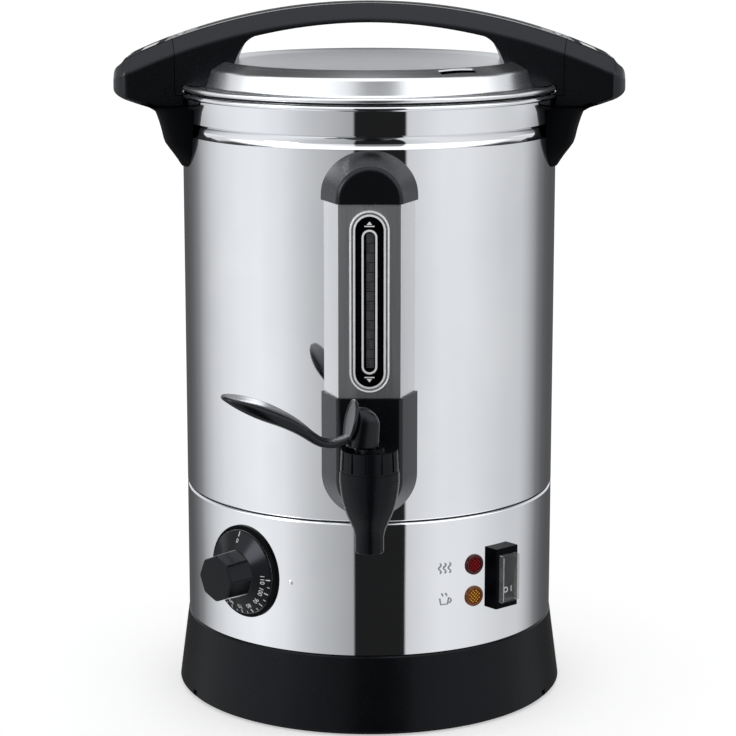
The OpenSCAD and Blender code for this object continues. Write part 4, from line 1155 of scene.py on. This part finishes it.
class URN_OT_switch(bpy.types.Operator):
    """Rounds the switch, its rocker and clear cap and prints the two marks"""

    bl_idname = "urn.switch"
    bl_label = "Switch"

    # A face of the cap past two of these lies on an edge
    CAP_X, CAP_Y, CAP_OUT = 6.1, 13.7, 13.15
    KEY_OUT, INK = 9.82, 0.08
    RING_X, RING_Y, RING_R, RING_HOLE_R = -1.2, -7.2, 1.75, 1.15

    def execute(self, context):
        box = rounded("switch_housing", "switch_frame", deep_black, 0.8, 3)
        key = rounded("switch_rocker", "rocker_key", deep_black, 0.5, 3)
        cap = rounded("switch_boot", "rocker_cap", clear_cap, 0.3, 2)
        # Edge faces of the cap take a painted highlight and its side walls a painted grey sheen
        for maker in (cap_edge, cap_wall):
            cap.data.materials.append(paint_of(maker))
        square = radial(SWITCH_ANGLE, SWITCH_Z).inverted()
        for face in cap.data.polygons:
            x, y, out = square @ (face.center / MM)
            edge = (abs(x) > self.CAP_X) + (abs(y) > self.CAP_Y) + (out > self.CAP_OUT) > 1
            face.material_index = 1 if edge else 2 * int(abs(x) > self.CAP_X)
        rings = [circle(self.RING_X, self.RING_Y, r, 31) for r in (self.RING_R, self.RING_HOLE_R)]
        marks = join(hoop(*rings, 0, self.INK), bar(2.9, -8.9, 3.45, -5.5, 0, self.INK))
        place = radial(SWITCH_ANGLE, SWITCH_Z, POT_R + self.KEY_OUT)
        unmirrored(box, key, cap, put("rocker_marks", moved(marks, place), white_print, "switch_rocker"))
        return {"FINISHED"}


class URN_OT_lamps(bpy.types.Operator):
    """Builds the two lamp lenses with a domed rim and a studded face"""

    bl_idname = "urn.lamps"
    bl_label = "Lamps"

    FACE_R, FACE_T, RIM_R, DEPTH = LAMP_R - 1.7, 1.5, 0.9, 4.0
    STUD_PITCH, STUD_R, STUD_TIP_R = 1.08, 0.5, 0.26
    SOFT = 25

    def execute(self, context):
        parts = (("lens", self.shell()), ("face", self.disc()), ("studs", join(*self.studs())))
        glass = (("red", red_lens, red_face, red_studs), ("amber", amber_lens, amber_face, amber_studs))
        for z, (colour, *makers) in zip(LAMP_ZS, glass):
            place, node = radial(LAMP_ANGLE, z), colour + "_lamp"
            for (kind, part), maker in zip(parts, makers):
                name = f"{colour}_{kind}"
                unmirrored(put(name, moved(part, place), maker, node, kind == "lens", self.SOFT))
        return {"FINISHED"}

    def shell(self):
        deep, r, t = self.DEPTH, self.FACE_R, self.FACE_T
        line = [(0, -deep), (LAMP_NECK_R, -deep), (LAMP_NECK_R, 0.0), (LAMP_R, 0.0)]
        line += arc(LAMP_R - self.RIM_R, 1.4, self.RIM_R, 0, 150, 10)
        return lathe(line + [(r, t), (r - 0.1, t), (0, t)], 64)

    def disc(self):
        return drum(self.FACE_R - 0.05, self.FACE_T - 0.1, self.FACE_T + 0.05, SMALL)

    def studs(self):
        """Small blunt points in slanting rows over the face."""
        pitch, low, parts = self.STUD_PITCH, self.FACE_T, []
        steps = ((self.STUD_R, low - 0.1), (self.STUD_R, low + 0.2), (self.STUD_TIP_R, low + 0.4))
        for i in range(-4, 5):
            for j in range(-4, 5):
                x, y = (i - j) * pitch, (i + j) * pitch
                if math.hypot(x, y) > self.FACE_R - 0.4:
                    continue
                rings = [[(x, y - r, t), (x + r, y, t), (x, y + r, t), (x - r, y, t)] for r, t in steps]
                parts.append(loft(rings))
        return parts


class URN_OT_gauge(bpy.types.Operator):
    """Builds the level gauge: its ends, frame, outline, marks and scale"""

    bl_idname = "urn.gauge"
    bl_label = "Level Gauge"

    LOW, HIGH, WIDTH = 203.9, 305.0, 22.0
    SLOT, SLOT_LOW, SLOT_HIGH, OUTLINE = 6.4, 215.4, 293.5, 1.1
    PANEL_Y, SCALE_Y, TUBE_Y = COVER_Y + 0.6, 124.0, 119.2
    FRONT_HALF, WALL_HALF, WALL_Y = 18.8, 26.9, 107.0
    CAP_MID, CAP_FLAT, FOOT_MID, FOOT_FLAT = 310.4, 308.4, 153.7, 200.5
    TAP_Z, TAP_BORE_R, TUBE_BORE_R = 153.5, 9.3, 6.45

    def execute(self, context):
        rounded("gauge_cover", "column_cover", brushed_steel, 0.7, 3)
        self.ends()
        coat(deep_black, "gauge_panel")
        coat(smoky_tube, "sight_tube")
        self.bezel()
        self.outline()
        self.scale()
        return {"FINISHED"}

    def end(self, mid, flat, inset, soft, over=0.0):
        """Column end with a round outline about mid, cut flat at the other side."""
        sign = 1 if flat > mid else -1
        mid_half, mid_y, turns = self.FRONT_HALF - soft, COLUMN_Y - soft, (0, 0.4, 0.8, 1.2, 1.571)
        steps = [(mid_half + soft * math.sin(a), mid_y + soft * math.cos(a)) for a in turns]
        rings = []
        for half, y in steps + [(self.WALL_HALF, self.WALL_Y)]:
            half, y = half - inset, y - inset
            line = [(x, mid - sign * z) for x, z in arc(0, 0, half, 0, 180, 40)]
            line += [(-half, flat + sign * over), (half, flat + sign * over)]
            rings.append([(x, -y, z) for x, z in line])
        return loft(rings)

    def ends(self):
        """Soft cap over the column and hollow shroud under it."""
        wall = drum(POT_R + 0.1, 100, 350, LARGE)
        cap = put("column_cap", self.end(self.CAP_MID, self.CAP_FLAT, 0, 3.0), satin_black, "gauge_cap", True)
        bore = drum(self.TUBE_BORE_R, 307, 321.4, SMALL)
        carve(carve(cap, wall), moved(bore, shifted(0, -self.TUBE_Y, 0)))
        polish(cap, 40)
        foot = self.end(self.FOOT_MID, self.FOOT_FLAT, 0, 3.0)
        foot = put("column_foot", foot, satin_black, "tap_shroud", True)
        carve(carve(foot, self.end(self.FOOT_MID, self.FOOT_FLAT, 2, 1.0, 1.0)), wall)
        bore = drum(self.TAP_BORE_R, 95, 140, SMALL)
        carve(foot, moved(bore, shifted(0, 0, self.TAP_Z) @ turned(90, "X")))
        polish(foot, 40)

    def window(self, inset):
        return tablet(self.WIDTH - 2 * inset, self.LOW + inset, self.HIGH - inset)

    def bezel(self):
        """Plated frame with a bead, a groove and a flat."""
        steps = [(0, 0.0), (0.05, 0.9), (0.3, 1.5), (0.6, 1.6), (0.95, 1.45), (1.1, 0.2), (2.05, 0.2)]
        steps += [(2.15, 1.1), (2.6, 1.3), (3.1, 1.2), (3.2, 0.9), (3.2, 0.0)]
        rings = [raised(self.window(inset), rise) for inset, rise in steps]
        put("window_frame", moved(tube(rings), front(COVER_Y)), silver_paint, "gauge_bezel", True, 40)
        # A darker ring laid in the frame's groove: painted shade
        groove = hoop(self.window(1.12), self.window(2.03), 0.15, 0.3)
        put("frame_groove", moved(groove, front(COVER_Y)), etched_steel, "gauge_bezel")

    def outline(self):
        """Pale outline round the level slot and a bar with a triangle at each end."""
        edge, low, high = self.OUTLINE, self.SLOT_LOW, self.SLOT_HIGH
        rings = tablet(self.SLOT + 2 * edge, low - edge, high + edge), tablet(self.SLOT, low, high)
        place = front(self.PANEL_Y)
        put("slot_outline", moved(hoop(*rings, 0.02, 0.35), place), silver_paint, "gauge_panel")
        marks = []
        for z, sign in ((high + 2.6, 1), (low - 2.6, -1)):
            marks.append(bar(-2.8, z, 2.8, z + 0.6 * sign, 0.02, 0.1))
            tip = z + 1.1 * sign
            marks.append(slab([(-1.5, tip), (1.5, tip), (0, z + 3.0 * sign)], 0.02, 0.1))
        put("level_marks", moved(join(*marks), place), white_print, "gauge_panel")

    def scale(self):
        """Dark scale with groups of ticks behind the slot."""
        left, right, short, blocks, strip, top = -1.7, 2.5, 0.1, 14, 0.08, 0.12
        low, high = self.SLOT_LOW + 1.5, self.SLOT_HIGH - 1.5
        step, ticks = (high - low) / blocks, []
        for k in range(blocks):
            rows = [(k, right, 0.16)]
            if k % 2 == 0:
                rows += [(k + j / 6, short, 0.12) for j in range(1, 6)]
            for row, end, half in rows:
                z = low + row * step
                ticks.append(bar(left, z - half, end, z + half, strip, top))
        place = front(self.SCALE_Y)
        put("level_scale", moved(bar(left, low, right, high, 0, strip), place), grey_print, "sight_tube")
        put("level_ticks", moved(join(*ticks), place), deep_black, "sight_tube")


class URN_OT_tap(bpy.types.Operator):
    """Rounds the tap and its bonnet and builds the spring and the curved lever"""

    bl_idname = "urn.tap"
    bl_label = "Tap"

    TAP_Y, BONNET_TOP, YAW, LIFT = 155.0, 178.5, 12.0, 3.0
    COIL_LOW, COIL_HIGH, COIL_R, WIRE_R, TURN_STEPS, TURNS = 161.6, 175.4, 6.2, 0.7, 24, 4
    PIN_Z, PIN_R, PIN_HALF, SLOT_HALF = 15, 1.55, 6.15, 3.75
    TIP_U, DISH = 81, 0.9
    HOOD_HALF, HOOD_Z, HOOD_H = 8.2, 15, 8.6
    SHIELD_PLACE, SHIELD_TURN = (9.3, 0, 16), 77

    def execute(self, context):
        rounded("tap_body", "tap_shell", matt_black, 0.6, 3)
        rounded("tap_bonnet", "bonnet_cap", matt_black, 0.4, 2)
        coat(satin_black, "thrust_washer", "valve_stem")
        self.spring()
        self.lever()
        return {"FINISHED"}

    def spring(self):
        """Coil in the bonnet, with a mesh of its own."""
        low, high, wire, rings = self.COIL_LOW, self.COIL_HIGH, self.WIRE_R, []
        steps = self.TURN_STEPS * self.TURNS
        for k in range(steps + 1):
            turn = 2 * math.pi * k / self.TURN_STEPS
            mid = low + wire + (high - low - 2 * wire) * k / steps
            section = circle(self.COIL_R, mid, wire, 10)
            rings.append([(q * math.cos(turn), q * math.sin(turn), z) for q, z in section])
        part = moved(loft(rings), shifted(0, -self.TAP_Y, 0))
        piece = put("bonnet_spring", part, plain_steel, "tap_spring", True, 50)
        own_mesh(piece)

    def lever(self):
        """Arm with a dome over the stem and a shield, hollow for the stem and its pin."""
        place = shifted(0, -self.TAP_Y, self.BONNET_TOP) @ turned(180 + self.YAW, "Z")
        piece = put("lever_arm", moved(loft(self.arm()), place), gloss_black, "tap_lever", True)
        carve(piece, moved(loft(self.hood()), place), "UNION")
        carve(piece, moved(self.shield(), place), "UNION")
        slot = [(-3.85, -1), (-3.85, 17.2), (-2.55, 18.9), (3.1, 18.9), (3.3, 15), (8.4, -1)]
        carve(piece, moved(slab(slot, -self.SLOT_HALF, self.SLOT_HALF), place @ front(0)))
        pin = drum(self.PIN_R, -self.PIN_HALF, self.PIN_HALF, 32)
        carve(piece, moved(pin, place @ shifted(0, 0, self.PIN_Z) @ turned(90, "X")))
        polish(piece, 40)

    def arm(self):
        """Rings along the arm, oval, with a shallow dish in the paddle."""
        tip = self.TIP_U
        high = curve((8, 10.5), (21, 3.5), (27, 8), 8) + curve((31, 11), (44, 24.5), (63, 30.5), 10)
        high += curve((66, 31.4), (74, 33.6), (79.5, 33.4), 6) + [(tip, 32.6)]
        low = curve((9, 5.5), (20, 0.1), (29, 3.4), 8) + curve((33, 5.6), (42, 12.4), (54, 17.3), 8)
        low += curve((58, 18.8), (70, 23.6), (80.5, 31.2), 8) + [(tip, 32.2)]
        wide = curve((8, 5.5), (34, 5.4), (50.2, 11.9), 8)
        wide += curve((55.1, 12.8), (64.8, 13.6), (72.9, 10.6), 8)
        wide += curve((76.95, 8.4), (tip, 4.6), (tip, 0.6), 8)
        steps = [8.5, 11, 14, 17, 20, 22, 24, 26, 28, 30, 32, 35, 38, 41, 44, 48, 52, 56, 60, 64, 68, 71, 74]
        rings = []
        for u in steps + [76.5, 78.5, 79.8, 80.5, 80.9]:
            top, bottom, half = along(high, u), along(low, u), along(wide, u)
            dish = self.DISH * min(1.0, max(0.0, (u - 36) / 14), max(0.0, (tip - u) / 8))
            ring = []
            for k in range(32):
                c, s = math.cos(math.pi * k / 16), math.sin(math.pi * k / 16)
                v, z = half * power(c, 0.6), (top + bottom) / 2 + (top - bottom) / 2 * power(s, 0.7)
                ring.append((u, v, z - (dish * (1 - power(c, 0.6) ** 2) if s > 0.3 else 0)))
            rings.append(ring)
        return rings

    def hood(self):
        """Rings of the dome over the stem, upwards."""
        back = [(2.4, -4.8), (8, -5), (12.5, -5.3)]
        back += [(z, u) for u, z in curve((-5.3, self.HOOD_Z), (-4.2, 22.4), (5.4, 23.4), 10)]
        rings = []
        for z in (2.4, 4, 6, 9, 12, 15, 17, 18.5, 20, 21, 21.8, 22.4, 22.9, 23.2):
            first, last = along(back, z), 12.3 - (z - 4.6) * 0.196
            mid, reach = (first + last) / 2, (last - first) / 2
            half = self.HOOD_HALF * math.sqrt(1 - max(0.0, (z - self.HOOD_Z) / self.HOOD_H) ** 2)
            ring = []
            for k in range(32):
                c, s = math.cos(math.pi * k / 16), math.sin(math.pi * k / 16)
                ring.append((mid + reach * power(c, 0.75), half * power(s, 0.75), z))
            rings.append(ring)
        return rings

    def shield(self):
        """Round shield with a raised rim."""
        line = [(0, 0.2), (10.8, 0.2)] + arc(11, 1.0, 1.0, -90, 90, 10)
        line += [(10.4, 1.7), (9.6, 1.35), (0, 1.35)]
        return moved(lathe(line, 64), shifted(*self.SHIELD_PLACE) @ turned(self.SHIELD_TURN, "Y"))


class URN_OT_marks(bpy.types.Operator):
    """Adds the dial index and the two raised pictograms beside the lamps"""

    bl_idname = "urn.marks"
    bl_label = "Raised Marks"

    INDEX_ANGLE, INDEX_Z, INDEX_R = -24.1, 87.2, 1.5
    ANGLE, SUNK, RISE, THIN_RISE = 23.0, -0.1, 0.3, 0.28

    def execute(self, context):
        self.index()
        self.heat()
        self.warm()
        return {"FINISHED"}

    def index(self):
        """Low dome beside the dial."""
        r = self.INDEX_R
        line = [(0, -0.2), (r, -0.2)] + arc(0, 0.0, r, 0, 90, 8)[:-1] + [(0, r)]
        dome = lathe([(x, z * 0.5 if z > 0 else z) for x, z in line], 24)
        place = radial(self.INDEX_ANGLE, self.INDEX_Z)
        put("dial_index", moved(dome, place), mirror_steel, "lower_band", soft=60)

    def heat(self):
        """Three waves of heat beside the upper lamp."""
        waves = []
        for x in (-3, 0, 3):
            path = [(x + 0.8 * math.sin(k * math.pi / 4), -3 + 0.5 * k) for k in range(13)]
            waves.append(stroke(path, 0.8, self.SUNK, self.RISE))
        put("heat_mark", wrapped(join(*waves), LAMP_ZS[0], self.ANGLE), etched_steel, "lower_band")

    def warm(self):
        """Steaming cup beside the lower lamp."""
        sunk, thin = self.SUNK, self.THIN_RISE
        cup = [stroke([(-3, 1.2), (-2.4, -2.6), (2.0, -2.6), (2.6, 1.2)], 0.8, sunk, self.RISE)]
        cup.append(stroke(arc(2.9, -0.6, 1.3, 80, -90, 8), 0.7, sunk, thin))
        for x in (-1.4, 1.0):
            path = [(x + 0.5 * math.sin(k * math.pi / 3), 2.2 + 0.3 * k) for k in range(7)]
            cup.append(stroke(path, 0.6, sunk, thin))
        put("warm_mark", wrapped(join(*cup), LAMP_ZS[1], self.ANGLE), etched_steel, "lower_band")


class URN_OT_stage(bpy.types.Operator):
    """Sets up the pale floor, the light tent, the even light and the camera"""

    bl_idname = "urn.stage"
    bl_label = "Stage"

    # Light round the urn: direction in degrees from the front, right positive, and level
    ROUND = (
        (-180, 0.09), (-150, 0.09), (-140, 0.13), (-130, 0.23), (-122, 0.42), (-112, 0.63), (-100, 0.79),
        (-85, 0.89), (-70, 0.93), (-54, 0.83), (-42, 0.66), (-33, 0.56), (-13, 0.41), (-9.6, 0.39),
        (-9.2, 0.014), (21.4, 0.014), (21.8, 0.65), (44, 0.83), (60, 0.82), (90, 0.67), (106, 0.63),
        (112, 0.54), (119, 0.39), (127, 0.20), (137, 0.115), (147, 0.09), (180, 0.09),
    )
    ROUND_LEVEL, LAMP_LEVEL, LAMP_WAY = 1.1, 6.0, (-0.797, -0.545, 0.26)
    FLOOR_HALF, TENT_R, TENT_Z = 30, 4.0, 0.25
    EYE, EYE_TILT, SENSOR = (-0.0008, -1.4603, 0.4878), 78.5464, 36.0

    def execute(self, context):
        scene = context.scene
        self.floor(scene)
        self.tent()
        self.sky(scene)
        self.camera(scene)
        scene.view_settings.view_transform = "Standard"
        return {"FINISHED"}

    def floor(self, scene):
        """A pale floor, white to the camera away from the urn's shadow, that reflections don't see."""
        half, mesh = self.FLOOR_HALF, bpy.data.meshes.new("floor")
        corners = [(-half, -half, 0), (half, -half, 0), (half, half, 0), (-half, half, 0)]
        mesh.from_pydata(corners, [], [[0, 1, 2, 3]])
        finish = {"Roughness": 0.9, "Specular_IOR_Level": 0.0, "Emission_Strength": 0.45}
        paint = Paint("floor", Base_Color=(*scene.urn_stage.floor_colour, 1.0), **finish)
        seen = paint.add("ShaderNodeLightPath", {}, {}, out="Is Camera Ray")
        paint.drive("Emission Color", paint.add("ShaderNodeCombineColor", {}, {0: seen, 1: seen, 2: seen}))
        mesh.materials.append(paint.material)
        floor = shown("floor", mesh)
        floor.visible_glossy = False

    def tent(self):
        """A ball of light round the urn that only reflections see."""
        mesh = bpy.data.meshes.new("tent")
        bm = bmesh.new()
        bmesh.ops.create_uvsphere(bm, u_segments=48, v_segments=24, radius=self.TENT_R)
        bm.to_mesh(mesh)
        bm.free()
        mesh.materials.append(self.glow().material)
        tent = shown("tent", mesh)
        tent.location = (0, 0, self.TENT_Z)
        for flag in ("camera", "diffuse", "transmission", "shadow", "volume_scatter"):
            setattr(tent, "visible_" + flag, False)

    def glow(self):
        """Light of the tent: walls by direction, brighter above, a darker top behind, and one lamp."""
        finish = {"Roughness": 1.0, "Specular_IOR_Level": 0.0, "Emission_Strength": 1.0}
        paint = Paint("tent", Base_Color=(0, 0, 0, 1), **finish)
        x, y, z = paint.axes()
        turn = paint.add("ShaderNodeMath", {"operation": "ARCTAN2"}, {0: x, 1: 0.0 - y}) / (2 * math.pi) + 0.5
        stops = [((angle + 180) / 360, level) for angle, level in self.ROUND]
        wall = self.ROUND_LEVEL * paint.add("ShaderNodeValToRGB", {"stops": stops}, {0: turn})
        height = z / self.TENT_R
        rise = height.ramp(0.14, 0.30)
        before = (wall * (1.0 + 0.9 * rise)).toward(1.5, 0.16 * rise + 0.8 * height.ramp(0.5, 0.75))
        after = wall.toward(1.0, height.ramp(-0.085, -0.02))
        after = after.toward(0.8, height.ramp(0.05, 0.11)).toward(0.07, height.ramp(0.42, 0.62))
        level = before.toward(after, (y / self.TENT_R).ramp(-0.05, 0.25))
        level = level.toward(1.6, height.ramp(0.93, 0.985))
        lamp = Vector(self.LAMP_WAY).normalized() / self.TENT_R
        level = level + self.LAMP_LEVEL * (lamp.x * x + lamp.y * y + lamp.z * z).ramp(0.968, 0.988)
        colour = paint.add("ShaderNodeCombineColor", {}, {0: 0.955 * level, 1: 0.97 * level, 2: level})
        paint.drive("Emission Color", colour)
        return paint

    def sky(self, scene):
        """Even light from all around, white to the camera and in metal and glass."""
        world = bpy.data.worlds.new("studio")
        scene.world = world
        world.use_nodes = True
        nodes, level = Nodes(world.node_tree), scene.urn_stage.sky
        rays = ("Is Camera Ray", "Is Glossy Ray", "Is Transmission Ray")
        camera, glossy, through = [nodes.add("ShaderNodeLightPath", {}, {}, out=ray) for ray in rays]
        light = world.node_tree.nodes["Background"].inputs
        light["Color"].default_value = (1, 1, 1, 1)
        nodes.plug(level + (1.0 - level) * camera.most(glossy).most(through), light["Strength"])

    def camera(self, scene):
        data = bpy.data.cameras.new("camera")
        data.lens = scene.urn_stage.lens
        data.sensor_width = self.SENSOR
        camera = shown("camera", data)
        camera.location = self.EYE
        camera.rotation_euler = (math.radians(self.EYE_TILT), 0, 0)
        scene.camera = camera


OPERATORS = (
    URN_OT_steel,
    URN_OT_base,
    URN_OT_handles,
    URN_OT_dial,
    URN_OT_switch,
    URN_OT_lamps,
    URN_OT_gauge,
    URN_OT_tap,
    URN_OT_marks,
    URN_OT_stage,
)


class URN_PT_panel(bpy.types.Panel):
    """Lists the steps and their values in the sidebar"""

    bl_idname = "URN_PT_panel"
    bl_label = "Urn Looks"
    bl_space_type = "VIEW_3D"
    bl_region_type = "UI"
    bl_category = "Urn"

    def draw(self, context):
        for group in (context.scene.urn_looks, context.scene.urn_stage):
            for name in group.__annotations__:
                self.layout.prop(group, name)
        for step in OPERATORS:
            self.layout.operator(step.bl_idname)


CLASSES = (URN_PG_looks, URN_PG_stage, *OPERATORS, URN_PT_panel)


def register():
    for cls in CLASSES:
        bpy.utils.register_class(cls)
    bpy.types.Scene.urn_looks = bpy.props.PointerProperty(type=URN_PG_looks)
    bpy.types.Scene.urn_stage = bpy.props.PointerProperty(type=URN_PG_stage)


def unregister():
    del bpy.types.Scene.urn_looks
    del bpy.types.Scene.urn_stage
    for cls in reversed(CLASSES):
        bpy.utils.unregister_class(cls)


def main():
    register()
    for step in OPERATORS:
        group, name = step.bl_idname.split(".")
        if "FINISHED" not in getattr(getattr(bpy.ops, group), name)():
            raise RuntimeError(step.bl_idname)


if __name__ == "__main__":
    main()
